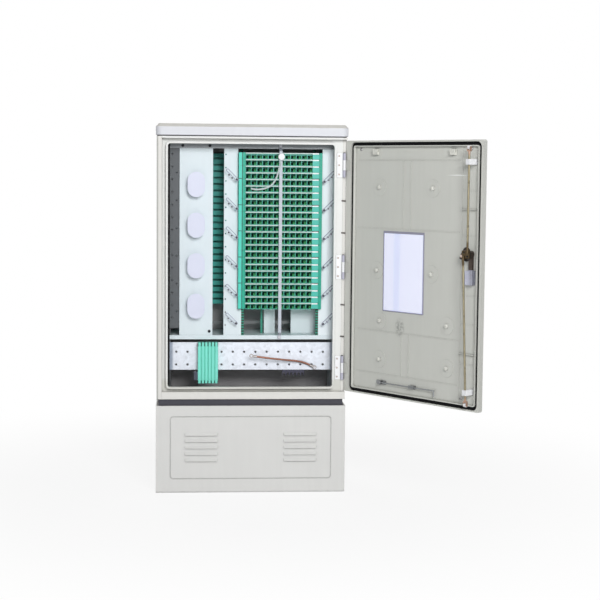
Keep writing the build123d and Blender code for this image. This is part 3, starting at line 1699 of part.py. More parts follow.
def roller_fork(u, z, way):
    """A fork with its pin that carries a roller at the rod's end, on the side given by way."""
    cheek = roller_width / 2 + roller_gap
    base_z = z - way * (roller_radius + fork_gap)
    outer_z = z + way * fork_reach
    fork_d = (rod_depth - fork_depth / 2, rod_depth + fork_depth / 2)
    for side in (-1, 1):
        span = sorted((u + side * cheek, u + side * (cheek + fork_wall)))
        door_block(span, fork_d, sorted((base_z, outer_z)))
    door_block(
        (u - cheek - fork_wall, u + cheek + fork_wall),
        fork_d,
        sorted((base_z, base_z - way * fork_base_height)),
    )
    round_bar(
        door_point(u - cheek - fork_wall, rod_depth, z),
        along_u,
        roller_pin_radius,
        2 * (cheek + fork_wall),
    )
    return base_z - way * fork_base_height


# Upper locking rod with its slotted tab and roller fork
with BuildPart() as rod_upper:
    rod_end_tab(*pin_places[0], 1)
    fork_z = roller_fork(rod_upper_u, roller_upper_z, 1)
    rod_foot = pin_places[0][1] + rod_tab_drop / 2
    round_bar(door_point(rod_upper_u, rod_depth, rod_foot), (0, 0, 1), rod_radius, fork_z - rod_foot)
save(rod_upper, "rod_upper")

# Lower locking rod, leaning outward to its roller
with BuildPart() as rod_lower:
    rod_end_tab(*pin_places[1], -1)
    fork_z = roller_fork(rod_lower_end_u, roller_lower_z, -1)
    lower_end = door_point(rod_lower_top_u + (lock_z - fork_z) * rod_slope, rod_depth, fork_z)
    rod_head = pin_places[1][1] - rod_tab_drop / 2
    lower_length = (rod_head - fork_z) / abs(lower_way.Z)
    round_bar(lower_end, lower_way * -1, rod_radius, lower_length)
save(rod_lower, "rod_lower")


def roller(u, z):
    """A nylon roller on its fork pin, with its axis along the door."""
    start = door_point(u - roller_width / 2, rod_depth, z)
    round_bar(start, along_u, roller_radius, roller_width)
    round_bar(start, along_u, roller_pin_radius + roller_bore_clearance, roller_width, mode=Mode.SUBTRACT)


# Nylon rollers
with BuildPart() as roller_upper:
    roller(rod_upper_u, roller_upper_z)
save(roller_upper, "roller_upper")

with BuildPart() as roller_lower:
    roller(rod_lower_end_u, roller_lower_z)
save(roller_lower, "roller_lower")
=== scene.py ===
"""Roadside fibre cabinet: finishes, small pieces and studio round the shared frame."""

import json
import logging
from dataclasses import dataclass
from enum import Enum
from functools import cache
from math import cos, pi, radians, sin
from typing import ClassVar

import bmesh
import bpy
from bpy.types import ID, Material, Node, NodeSocket as Socket, NodeTree, Object
from mathutils import Color, Matrix, Vector


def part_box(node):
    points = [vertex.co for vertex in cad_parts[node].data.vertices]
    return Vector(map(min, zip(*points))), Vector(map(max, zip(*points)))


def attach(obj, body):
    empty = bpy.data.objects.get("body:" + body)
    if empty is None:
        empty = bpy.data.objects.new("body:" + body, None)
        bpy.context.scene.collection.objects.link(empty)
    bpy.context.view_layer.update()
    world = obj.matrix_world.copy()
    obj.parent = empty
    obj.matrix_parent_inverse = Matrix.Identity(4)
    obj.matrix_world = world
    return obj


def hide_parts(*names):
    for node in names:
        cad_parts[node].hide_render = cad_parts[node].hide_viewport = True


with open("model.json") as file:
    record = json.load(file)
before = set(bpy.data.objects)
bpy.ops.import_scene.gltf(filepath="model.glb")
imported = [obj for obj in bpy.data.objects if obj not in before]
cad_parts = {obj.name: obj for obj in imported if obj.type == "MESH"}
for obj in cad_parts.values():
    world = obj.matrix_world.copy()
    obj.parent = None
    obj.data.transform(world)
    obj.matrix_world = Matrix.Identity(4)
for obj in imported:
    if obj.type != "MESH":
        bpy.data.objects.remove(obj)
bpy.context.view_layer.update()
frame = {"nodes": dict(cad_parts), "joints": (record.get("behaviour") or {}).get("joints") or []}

log = logging.getLogger("cabinet")

Colour = tuple[float, float, float, float]
Point = tuple[float, float, float]
Pairs = tuple[tuple[float, float], ...]
Widths = tuple[tuple[str, float], ...]
Number = float | Socket
Tint = Colour | Socket

FAR = 9.0
GRAIN_DEPTH = 0.0006
WELD_REACH = 0.00001
SHARP_ANGLE = radians(38)
SOFT_ANGLE = radians(40)
TRAY_ROWS = 24
CELL_COUNT = 12
CELLS_START = 0.0815
CELLS_END = 0.885
LABEL_SHADE = 0.0016
RAIL_PITCH = 0.0108
GUIDE_WIDTH = 0.079
GUIDE_RIBS = 6


class Body(Enum):
    """The moving bodies that a new piece can ride on."""

    CABINET = "cabinet"
    DOOR = "door"
    LOCK = "lock"


class Axis(Enum):
    """The axis along which a place on a piece is told."""

    ACROSS = 0
    INWARD = 1
    UP = 2


def tone(red: int, green: int, blue: int) -> Colour:
    """Turn a display colour, from 0 to 255, into the linear colour that a shader takes."""
    linear = Color((red / 255, green / 255, blue / 255)).from_srgb_to_scene_linear()
    return (*linear, 1.0)


class Graph:
    """Short calls that add nodes to a tree and feed them."""

    def __init__(self, tree: NodeTree) -> None:
        """Keep the tree that is worked on."""
        self.tree = tree

    def node(self, kind: str, inputs: dict | None = None, **settings: object) -> Node:
        """Add a node, set its options, and set or join its inputs.

        Args:
            kind: node type without its common first part.
            inputs: input name or number, with a value or the socket that feeds it.
            settings: options of the node itself.

        Returns:
            The new node.
        """
        made = self.tree.nodes.new("ShaderNode" + kind)
        for name, value in settings.items():
            setattr(made, name, value)
        self.feed(made, inputs or {})
        return made

    def feed(self, node: Node, inputs: dict) -> None:
        """Set or join inputs of a node.

        Args:
            node: the node.
            inputs: input name or number, with a value or the socket that feeds it.
        """
        for name, value in inputs.items():
            if isinstance(value, Socket):
                self.tree.links.new(value, node.inputs[name])
            else:
                node.inputs[name].default_value = value

    def math(self, operation: str, *values: Number, clamp: bool = False) -> Socket:
        """Add one step of arithmetic, with its result kept from 0 to 1 where it is clamped."""
        inputs = dict(enumerate(values))
        return self.node("Math", inputs, operation=operation, use_clamp=clamp).outputs[0]

    def mix(self, share: Number, under: Tint, over: Tint) -> Socket:
        """Lay one colour over another, by the share of the upper one that shows."""
        return self.node("Mix", {0: share, 6: under, 7: over}, data_type="RGBA").outputs[2]

    def place(self) -> Socket:
        """The point on the piece, in metres."""
        return self.node("TexCoord").outputs["Object"]

    def axes(self) -> list[Socket]:
        """The three coordinates of the point on the piece."""
        return list(self.node("SeparateXYZ", {0: self.place()}).outputs)

    def noise(self, scale: float, detail: float = 3, stretch: Point = (1, 1, 1)) -> Socket:
        """A cloudy value round a half, by clouds to the metre, finer steps and stretch."""
        spread = self.node("Mapping", {"Vector": self.place(), "Scale": stretch}).outputs[0]
        return self.node("TexNoise", {"Vector": spread, "Scale": scale, "Detail": detail}).outputs["Fac"]

    def span(self, value: Socket, low: float, high: float, to_low: float = 0, to_high: float = 1) -> Socket:
        """Carry a value smoothly from one span over to another."""
        inputs = {0: value, 1: low, 2: high, 3: to_low, 4: to_high}
        return self.node("MapRange", inputs, interpolation_type="SMOOTHSTEP").outputs[0]

    def beat(self, value: Socket, first: float, pitch: float) -> Socket:
        """The share of the way through each step of an even pitch."""
        steps = self.math("DIVIDE", self.math("SUBTRACT", value, first), pitch)
        return self.math("FRACT", steps)

    def local(self, origin: Point, turn: float, reach: Point = (1, 1, 1)) -> Socket:
        """The point told from an origin along turned axes, in units of a reach."""
        inputs = {"Vector": self.place(), "Location": origin, "Rotation": (0, 0, turn), "Scale": reach}
        return self.node("Mapping", inputs, vector_type="TEXTURE").outputs[0]

    def spot(self, centre: Point, reach: Point, turn: float) -> Socket:
        """A mask that is 1 at a place and fades to 0 at its reach."""
        far = self.node("VectorMath", {0: self.local(centre, turn, reach)}, operation="LENGTH").outputs["Value"]
        return self.span(far, 0.25, 1, 1, 0)

    def seen_directly(self) -> Socket:
        """A mask that is 1 for camera, mirror and see-through rays."""
        seen = [self.node("LightPath").outputs[f"Is {kind} Ray"] for kind in ("Camera", "Glossy", "Transmission")]
        return self.math("MAXIMUM", self.math("MAXIMUM", seen[0], seen[1]), seen[2])


class Effect:
    """A shader node group that several materials share."""

    def __init__(self, name: str, inputs: tuple[str, ...], outputs: tuple[str, ...]) -> None:
        """Make the group with its named inputs and outputs, all of them values except Colour.

        Args:
            name: name of the effect.
            inputs: name of each input.
            outputs: name of each output.
        """
        self.tree = bpy.data.node_groups.new(name, "ShaderNodeTree")
        for way, labels in (("INPUT", inputs), ("OUTPUT", outputs)):
            for label in labels:
                kind = "NodeSocketColor" if label == "Colour" else "NodeSocketFloat"
                self.tree.interface.new_socket(label, in_out=way, socket_type=kind)
        self.graph = Graph(self.tree)
        self.given = self.tree.nodes.new("NodeGroupInput").outputs
        self.result = self.tree.nodes.new("NodeGroupOutput")


@cache
def cloudy_effect() -> NodeTree:
    """Clouds, streaks and fine grain of a moulded or painted surface, built once.

    Returns:
        The group, which gives a colour, a roughness and a height.
    """
    inputs = ("Colour", "Mottle", "Streaks", "Gloss")
    effect = Effect("cloudy_surface", inputs, ("Colour", "Roughness", "Height"))
    graph, given = effect.graph, effect.given
    cloud = graph.noise(7, 5)
    streak = graph.noise(1, 3, (60, 60, 4))
    grain = graph.noise(700, 2)
    mottle = graph.math("MULTIPLY", graph.math("SUBTRACT", cloud, 0.5), given["Mottle"])
    streaks = graph.math("MULTIPLY", graph.math("SUBTRACT", streak, 0.5), given["Streaks"])
    factor = graph.math("ADD", graph.math("ADD", mottle, streaks), 1)
    scaled = graph.node("VectorMath", {0: given["Colour"], "Scale": factor}, operation="SCALE").outputs[0]
    uneven = graph.math("MULTIPLY", graph.math("SUBTRACT", cloud, 0.5), 0.22)
    rough = graph.math("SUBTRACT", graph.math("ADD", uneven, 1), given["Gloss"])
    height = graph.math("ADD", graph.math("MULTIPLY", grain, 0.4), cloud)
    graph.feed(effect.result, {"Colour": scaled, "Roughness": rough, "Height": height})
    return effect.tree


@cache
def dust_and_seam_shade_effect() -> NodeTree:
    """Grey dust on faces that look up, and painted shade darkening every seam and corner, built once.

    Returns:
        The group, which gives the dusty colour with its painted shade.
    """
    effect = Effect("dust_and_seam_shade", ("Colour", "Amount", "Seams"), ("Colour",))
    graph, given = effect.graph, effect.given
    upward = graph.node("SeparateXYZ", {0: graph.node("NewGeometry").outputs["Normal"]}).outputs[2]
    lying = graph.span(upward, 0.4, 1)
    patchy = graph.span(graph.noise(38, 4), 0.3, 0.75, 0.35, 1)
    share = graph.math("MULTIPLY", graph.math("MULTIPLY", lying, patchy), given["Amount"], clamp=True)
    dusty = graph.mix(share, given["Colour"], tone(128, 122, 112))
    # Painted shade: occlusion darkens every seam, corner and gap towards a dark tone.
    near = graph.node("AmbientOcclusion", {"Distance": 0.012}, samples=4).outputs["AO"]
    seam = graph.math("MULTIPLY", graph.span(near, 0.2, 0.85, 1, 0), given["Seams"], clamp=True)
    graph.feed(effect.result, {"Colour": graph.mix(seam, dusty, tone(52, 50, 47))})
    return effect.tree


@cache
def crystal_effect() -> NodeTree:
    """Crystals and dull patches of a zinc coat, built once.

    Returns:
        The group, which gives a colour and a roughness.
    """
    effect = Effect("zinc_crystals", ("Colour", "Scale", "Contrast", "Gloss"), ("Colour", "Roughness"))
    graph, given = effect.graph, effect.given
    cells = graph.node("TexVoronoi", {"Vector": graph.place(), "Scale": given["Scale"]}).outputs["Color"]
    grey = graph.node("SeparateColor", {0: cells}).outputs[0]
    patch = graph.noise(26, 4)
    both = graph.math("ADD", graph.math("MULTIPLY", grey, 0.6), graph.math("MULTIPLY", patch, 0.8))
    swing = graph.math("MULTIPLY", graph.math("SUBTRACT", both, 0.7), given["Contrast"])
    factor = graph.math("ADD", swing, 1)
    scaled = graph.node("VectorMath", {0: given["Colour"], "Scale": factor}, operation="SCALE").outputs[0]
    rough = graph.math("SUBTRACT", factor, given["Gloss"])
    graph.feed(effect.result, {"Colour": scaled, "Roughness": rough})
    return effect.tree


class Paint(Graph):
    """One material with its shader."""

    def __init__(self, name: str) -> None:
        """Make the material with an empty shader.

        Args:
            name: name of the finish.
        """
        self.material = bpy.data.materials.new(name)
        self.material.use_nodes = True
        super().__init__(self.material.node_tree)
        self.shader = self.tree.nodes["Principled BSDF"]

    def effect(self, group: NodeTree, **inputs: Number | Colour) -> bpy.types.bpy_prop_collection:
        """Place a shared effect with its own values or sockets, and give its outputs."""
        return self.node("Group", inputs, node_tree=group).outputs

    def lead(self, **inputs: Number | Colour) -> None:
        """Set or join inputs of the shader, with spaces written as underscores."""
        self.feed(self.shader, {name.replace("_", " "): value for name, value in inputs.items()})

    def bump(self, height: Socket, strength: float, depth: float = GRAIN_DEPTH) -> None:
        """Roughen the surface by a height, with the depth in metres of a height of 1."""
        inputs = {"Height": height, "Strength": strength, "Distance": depth}
        self.lead(Normal=self.node("Bump", inputs).outputs[0])


@dataclass(frozen=True)
class Spot:
    """A small mark laid on a surface: a smudge, a scratch, and the painted shade of a crease."""

    colour: Colour
    centre: Point
    reach: Point
    turn: float
    strength: float
    broken: bool = True


@dataclass(frozen=True)
class Zone:
    """A stretch of a piece with a shade of its own, told by its place along one axis."""

    colour: Colour
    axis: Axis
    low: float = -FAR
    high: float = FAR
    fade: float = 0.0004
    origin: Point = (0, 0, 0)
    turn: float = 0.0

    def mask(self, paint: Paint) -> Socket:
        """Add the mask of the stretch.

        Args:
            paint: material that it is added to.

        Returns:
            The socket with the mask.
        """
        local = paint.local(self.origin, self.turn)
        value = paint.node("SeparateXYZ", {0: local}).outputs[self.axis.value]
        above = paint.span(value, self.low - self.fade, self.low + self.fade)
        below = paint.span(value, self.high - self.fade, self.high + self.fade, 1, 0)
        return paint.math("MULTIPLY", above, below)


def zoned(paint: Paint, colour: Tint, zones: tuple[Zone, ...]) -> Tint:
    """Lay the shades of the zones over a colour.

    Args:
        paint: material that they are added to.
        colour: colour outside the zones.
        zones: the stretches with their own shades.

    Returns:
        The plain colour where there is no zone, and a socket otherwise.
    """
    for zone in zones:
        colour = paint.mix(zone.mask(paint), colour, zone.colour)
    return colour


@dataclass(frozen=True)
class Finish:
    """A finish that can be made into a material."""

    name: str

    def shade(self, paint: Paint) -> None:
        """Lay out the shader, which each kind of finish does in its own way."""
        raise NotImplementedError

    def material(self) -> Material:
        """Build the material.

        Returns:
            The finished material.
        """
        paint = Paint(self.name)
        self.shade(paint)
        return paint.material


@dataclass(frozen=True)
class Moulded(Finish):
    """Moulded compound, painted sheet or plain plastic with clouds, dust and painted shade in its joins."""

    colour: Colour
    mottle: float = 0.05
    streaks: float = 0.05
    gloss: float = 0.5
    dust: float = 0.15
    grain: float = 0.1
    marks: tuple[Spot, ...] = ()
    zones: tuple[Zone, ...] = ()
    shine: float = 0.5
    # Strength of the painted shade that darkens joins and corners.
    seam_shade: float = 0.5
    painted_glow: Colour | None = None

    def shade(self, paint: Paint) -> None:
        """Lay clouds, dust, painted shade in joins and corners, and marks over the colour.

        Args:
            paint: the material.
        """
        base = zoned(paint, self.colour, self.zones)
        surface = paint.effect(cloudy_effect(), Colour=base, Mottle=self.mottle, Streaks=self.streaks, Gloss=self.gloss)
        colour = paint.effect(dust_and_seam_shade_effect(), Colour=surface["Colour"], Amount=self.dust, Seams=self.seam_shade)["Colour"]
        for mark in self.marks:
            spot = paint.spot(mark.centre, mark.reach, mark.turn)
            if mark.broken:
                spot = paint.math("MULTIPLY", spot, paint.span(paint.noise(90, 4), 0.3, 0.65))
            colour = paint.mix(paint.math("MULTIPLY", spot, mark.strength), colour, mark.colour)
        paint.lead(Base_Color=colour, Roughness=surface["Roughness"], Specular_IOR_Level=self.shine)
        # Painted glow: an emission that brightens the surface beyond the light it gets.
        if self.painted_glow:
            paint.lead(Emission_Color=self.painted_glow, Emission_Strength=1)
        paint.bump(surface["Height"], self.grain)


@dataclass(frozen=True)
class Ribbed(Finish):
    """Plastic with painted shade in lines at an even pitch, in grooves, under labels and between ribs, darker at the
    ends of the grooves.
    """

    colour: Colour
    groove_shade: Colour
    axis: Axis
    first: float
    pitch: float
    share: float
    ends: tuple[Zone, ...] = ()
    zones: tuple[Zone, ...] = ()
    # Strength of the painted shade that darkens joins and corners.
    seam_shade: float = 0.4

    def shade(self, paint: Paint) -> None:
        """Lay the painted shade of the grooves and the zones over the colour.

        Args:
            paint: the material.
        """
        step = paint.beat(paint.axes()[self.axis.value], self.first, self.pitch)
        aside = paint.math("ABSOLUTE", paint.math("SUBTRACT", step, 0.5))
        inside = paint.span(aside, 0.4 * self.share, 0.6 * self.share, 1, 0)
        colour = paint.mix(inside, self.colour, self.groove_shade)
        for end in self.ends:
            colour = paint.mix(paint.math("MULTIPLY", inside, end.mask(paint)), colour, end.colour)
        colour = zoned(paint, colour, self.zones)
        surface = paint.effect(cloudy_effect(), Colour=colour, Mottle=0.15, Streaks=0.12, Gloss=0.5)
        dust_and_shade = paint.effect(dust_and_seam_shade_effect(), Colour=surface["Colour"], Amount=0.15, Seams=self.seam_shade)
        paint.lead(Base_Color=dust_and_shade["Colour"], Roughness=surface["Roughness"])
        paint.bump(surface["Height"], 0.1)


@dataclass(frozen=True)
class Metal(Finish):
    """Zinc-coated, brass or copper metal."""

    colour: Colour
    metallic: float = 0.8
    gloss: float = 0.55
    crystals: float = 260.0
    contrast: float = 0.3
    dust: float = 0.15
    zones: tuple[Zone, ...] = ()
    painted: Zone | None = None

    def shade(self, paint: Paint) -> None:
        """Lay crystals, dust and painted shade in corners over the metal, bare outside the painted zone.

        Args:
            paint: the material.
        """
        layers = (*self.zones, self.painted) if self.painted else self.zones
        base = zoned(paint, self.colour, layers)
        grit = {"Scale": self.crystals, "Contrast": self.contrast}
        coat = paint.effect(crystal_effect(), Colour=base, Gloss=self.gloss, **grit)
        colour = paint.effect(dust_and_seam_shade_effect(), Colour=coat["Colour"], Amount=self.dust, Seams=0.4)["Colour"]
        paint.lead(Base_Color=colour, Roughness=coat["Roughness"], Metallic=self.metallic)
        if self.painted:
            bare = paint.math("SUBTRACT", 1, self.painted.mask(paint))
            paint.lead(Metallic=paint.math("MULTIPLY", bare, self.metallic))


@dataclass(frozen=True)
class ClearPlastic(Finish):
    """Clear plastic that shows what is behind it."""

    colour: Colour
    alpha: float
    gloss: float = 0.85

    def shade(self, paint: Paint) -> None:
        """Lay faint clouds over the plastic.

        Args:
            paint: the material.
        """
        surface = paint.effect(cloudy_effect(), Colour=self.colour, Mottle=0.12, Streaks=0.05, Gloss=self.gloss)
        paint.lead(Base_Color=surface["Colour"], Roughness=surface["Roughness"], Alpha=self.alpha)


@dataclass(frozen=True)
class TrayGreen(Finish):
    """Green tray plastic in strips across the stack, with painted shade in the darker strips."""

    strips: tuple[tuple[float, Colour], ...]
    low: Point
    high: Point
    rows: int
    block_rows: int = 4
    gap_shadow_share: float = 0.025
    fascia_depth: float = 0.0035

    def shade(self, paint: Paint) -> None:
        """Lay the strips with their painted shade, a painted shadow in the gaps between the blocks of trays, and dust.

        Args:
            paint: the material.
        """
        across, inward, up = paint.axes()
        share = paint.node("MapRange", {0: across, 1: self.low[0], 2: self.high[0]}).outputs[0]
        ramp = paint.node("ValToRGB", {0: share})
        ramp.color_ramp.interpolation = "CONSTANT"
        stops = ramp.color_ramp.elements
        while len(stops) < len(self.strips):
            stops.new(1)
        for stop, (place, colour) in zip(stops, self.strips):
            stop.position = place
            stop.color = colour
        block = (self.high[2] - self.low[2]) * self.block_rows / self.rows
        # Painted shadow: a dark line across the front faces in the gap between each block of trays.
        gap_shadow = paint.math("LESS_THAN", paint.beat(up, self.low[2], block), self.gap_shadow_share)
        face = paint.math("LESS_THAN", inward, self.low[1] + self.fascia_depth)
        parted = paint.mix(paint.math("MULTIPLY", gap_shadow, face), ramp.outputs[0], tone(16, 52, 42))
        surface = paint.effect(cloudy_effect(), Colour=parted, Mottle=0.16, Streaks=0.1, Gloss=0.55)
        colour = paint.effect(dust_and_seam_shade_effect(), Colour=surface["Colour"], Amount=0.1, Seams=0.35)["Colour"]
        paint.lead(Base_Color=colour, Roughness=surface["Roughness"])
        paint.bump(surface["Height"], 0.08, 0.0005)


@dataclass(frozen=True)
class PortGreen(Finish):
    """Adapters with a dark mouth and painted shade over most of their face, the green housing showing low on one side.
    """

    dark: Colour
    green: Colour
    first: float
    pitch: float
    base: float
    row: float

    def shade(self, paint: Paint) -> None:
        """Lay the green housing over the dark mouth and its painted shade in every cell.

        Args:
            paint: the material.
        """
        across, _, up = paint.axes()
        cell = paint.beat(across, self.first, self.pitch)
        rise = paint.beat(up, self.base, self.row)
        # Painted shade: only a low patch on one side of each adapter shows green; the rest takes the dark of the mouth.
        side = paint.math("MULTIPLY", paint.span(cell, 0.42, 0.62), paint.span(rise, 0.38, 0.56, 1, 0.12))
        body = paint.mix(side, self.dark, self.green)
        surface = paint.effect(cloudy_effect(), Colour=body, Mottle=0.3, Streaks=0.2, Gloss=0.55)
        paint.lead(Base_Color=surface["Colour"], Roughness=surface["Roughness"])


def put(name: str, data: ID) -> Object:
    """Make an object from its data and link it to the scene.

    Args:
        name: name of the object.
        data: its mesh, curve, lamp or camera.

    Returns:
        The new object.
    """
    made = bpy.data.objects.new(name, data)
    bpy.context.scene.collection.objects.link(made)
    return made


class Shape:
    """A mesh that is put together from blocks and turned pieces."""

    def __init__(self, name: str) -> None:
        """Start an empty mesh with the piece's name."""
        self.name = name
        self.mesh = bmesh.new()

    def block(self, place: Matrix, size: Point, edge: float) -> None:
        """Add a block with softened edges.

        Args:
            place: where its middle is and how it is turned.
            size: its three sides in metres.
            edge: width of the softened edge.
        """
        made = bmesh.ops.create_cube(self.mesh, size=1, matrix=place @ Matrix.Diagonal((*size, 1)))
        edges = {side for vertex in made["verts"] for side in vertex.link_edges}
        bmesh.ops.bevel(self.mesh, geom=list(edges), offset=edge, segments=2, profile=0.5, affect="EDGES")

    def turned(self, place: Matrix, profile: Pairs, sides: int) -> None:
        """Add a closed turned piece.

        Args:
            place: where its foot is, with its axis along local Z.
            profile: radius and height pairs from the top's middle to the foot's middle.
            sides: steps round the axis.
        """
        angles = [2 * pi * step / sides for step in range(sides)]
        rings = []
        for radius, height in profile:
            points = [Vector((radius * cos(angle), radius * sin(angle), height)) for angle in angles]
            rings.append([self.mesh.verts.new(place @ point) for point in (points if radius else points[:1])])
        for upper, lower in zip(rings, rings[1:]):
            for step in range(sides):
                ahead = (step + 1) % sides
                around = ((upper, step), (lower, step), (lower, ahead), (upper, ahead))
                corners = [ring[index % len(ring)] for ring, index in around]
                self.mesh.faces.new(list(dict.fromkeys(corners)))

    def piece(self, body: Body, material: Material) -> None:
        """Turn the mesh into a piece that rides on a body.

        Args:
            body: body that it moves with.
            material: its finish.
        """
        bmesh.ops.recalc_face_normals(self.mesh, faces=self.mesh.faces)
        data = bpy.data.meshes.new(self.name)
        self.mesh.to_mesh(data)
        self.mesh.free()
        data.materials.append(material)
        data.shade_smooth()
        data.set_sharp_from_angle(angle=SHARP_ANGLE)
        made = put(self.name, data)
        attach(made, body.value)
        log.info("piece %s on %s", self.name, body.value)


@dataclass
class Assembly:
    """A sub-assembly with the finish of each carried-over node and the widths of softened edges."""

    nodes: ClassVar[dict[str, tuple[str, ...]]] = {}
    finishes: dict[str, Material]
    soft_edges: Widths = ()

    def build(self) -> None:
        """Give every carried-over node its finish and its softened edges."""
        for finish, nodes in self.nodes.items():
            for node in nodes:
                materials = frame["nodes"][node].data.materials
                materials.clear()
                materials.append(self.finishes[finish])
                log.info("node %s in %s", node, finish)
        self.soften()

    def soften(self) -> None:
        """Round the edges of the nodes that have a width for it."""
        for node, width in self.soft_edges:
            modifiers = frame["nodes"][node].modifiers
            modifiers.new("weld", "WELD").merge_threshold = WELD_REACH
            bevel = modifiers.new("soft_edges", "BEVEL")
            bevel.width = width
            bevel.segments = 2
            bevel.limit_method = "ANGLE"
            bevel.angle_limit = SOFT_ANGLE
            modifiers.new("shading", "WEIGHTED_NORMAL").keep_sharp = True


def screw_profile(radius: float, height: float) -> Pairs:
    """Radius and height pairs of a domed screw head with a socket."""
    shares = ((0, 0.45), (0.36, 0.45), (0.4, 1), (0.7, 0.92), (0.92, 0.62), (1, 0.25), (1, 0), (0, 0))
    return tuple((out * radius, up * height) for out, up in shares)


def islands(node: str) -> list[tuple[Vector, Vector]]:
    """Find the separate solids of a node.

    Args:
        node: name of the carried-over node.

    Returns:
        The lowest and highest corner of each solid.
    """
    mesh = bmesh.new()
    mesh.from_mesh(frame["nodes"][node].data)
    bmesh.ops.remove_doubles(mesh, verts=mesh.verts, dist=WELD_REACH)
    left = set(mesh.verts)
    found = []
    while left:
        front = [left.pop()]
        group = []
        while front:
            vertex = front.pop()
            group.append(vertex)
            fresh = left & {edge.other_vert(vertex) for edge in vertex.link_edges}
            left -= fresh
            front.extend(fresh)
        low = Vector([min(vertex.co[axis] for vertex in group) for axis in range(3)])
        high = Vector([max(vertex.co[axis] for vertex in group) for axis in range(3)])
        found.append((low, high))
    mesh.free()
    return sorted(found, key=lambda pair: tuple(pair[0]))


@dataclass
class DoorFrame:
    """The open door's own directions: out from the hinge, inward, and up."""

    hinge: Vector
    turn: float

    def place(self, out: float, inward: float, height: float) -> Matrix:
        """Place on the door, with local X out, Y up and Z inward from the panel.

        Args:
            out: distance from the hinge axis in metres.
            inward: distance towards the cabinet's side of the door.
            height: height above the ground.

        Returns:
            The matrix of that place.
        """
        along = Vector((cos(self.turn), sin(self.turn), 0))
        into = Vector((sin(self.turn), -cos(self.turn), 0))
        spot = self.hinge + along * out + into * inward
        spot.z = height
        turned = Matrix((along, (0, 0, 1), into)).transposed().to_4x4()
        return Matrix.Translation(spot) @ turned

    def point(self, out: float, inward: float, height: float) -> Point:
        """The same place as plain numbers."""
        return tuple(self.place(out, inward, height).translation)


def open_door() -> DoorFrame:
    """Read the door's own directions at rest from its joint."""
    joint = next(item for item in frame["joints"] if item["name"] == "door_swing")
    return DoorFrame(Vector(joint["pos_m"]), radians(180 - joint["range_deg"][0]))


@dataclass
class Housing(Assembly):
    """Plinth, neck, walls, front frame and roof."""

    nodes = {
        "galvanised": ("base_frame",),
        "plinth_compound": ("plinth_front", "plinth_back", "plinth_left", "plinth_right"),
        # The top panel shows only in the gap under the roof, where its dark finish is a painted shadow.
        "neck_dark_and_gap_shadow": ("neck_frame", "top_panel"),
        "dark_sheet": ("cabinet_floor",),
        "gasket_rubber": ("cable_grommets",),
        "left_compound_edge_shade": ("side_left",),
        "housing_compound": ("side_right",),
        "back_compound": ("back_panel",),
        "lip_compound": ("front_frame",),
        "sill_compound": ("front_sill",),
        "roof_compound_painted_light": ("roof",),
        "hinge_enamel": ("hinge_leaves",),
        "pin_steel": ("hinge_pins",),
        "cabinet_screw": ("cabinet_screws",),
    }
    soft_edges: Widths = (
        ("plinth_front", 0.0012),
        ("plinth_left", 0.0015),
        ("plinth_right", 0.0015),
        ("side_left", 0.0016),
        ("side_right", 0.0012),
        ("front_frame", 0.0012),
        ("front_sill", 0.0015),
        ("roof", 0.002),
    )
    buffer_heights: tuple[float, ...] = (1.1545, 1.0285, 0.7445, 0.6185)
    buffer_size: Point = (0.0165, 0.0025, 0.0055)
    buffer_x: float = 0.3605
    buffer_face: float = -0.132
    buffer_turn: float = radians(5)
    buffer_edge: float = 0.0006

    def build(self) -> None:
        """Dress the housing and add the buffers of the hinge side."""
        super().build()
        self.hinge_buffers()

    def hinge_buffers(self) -> None:
        """Put the four small rubber buffers between the hinges."""
        shape = Shape("hinge_buffers")
        for height in self.buffer_heights:
            middle = Vector((self.buffer_x, self.buffer_face - self.buffer_size[1] / 2, height))
            place = Matrix.Translation(middle) @ Matrix.Rotation(self.buffer_turn, 4, "Y")
            shape.block(place, self.buffer_size, self.buffer_edge)
        shape.piece(Body.CABINET, self.finishes["buffer_rubber"])


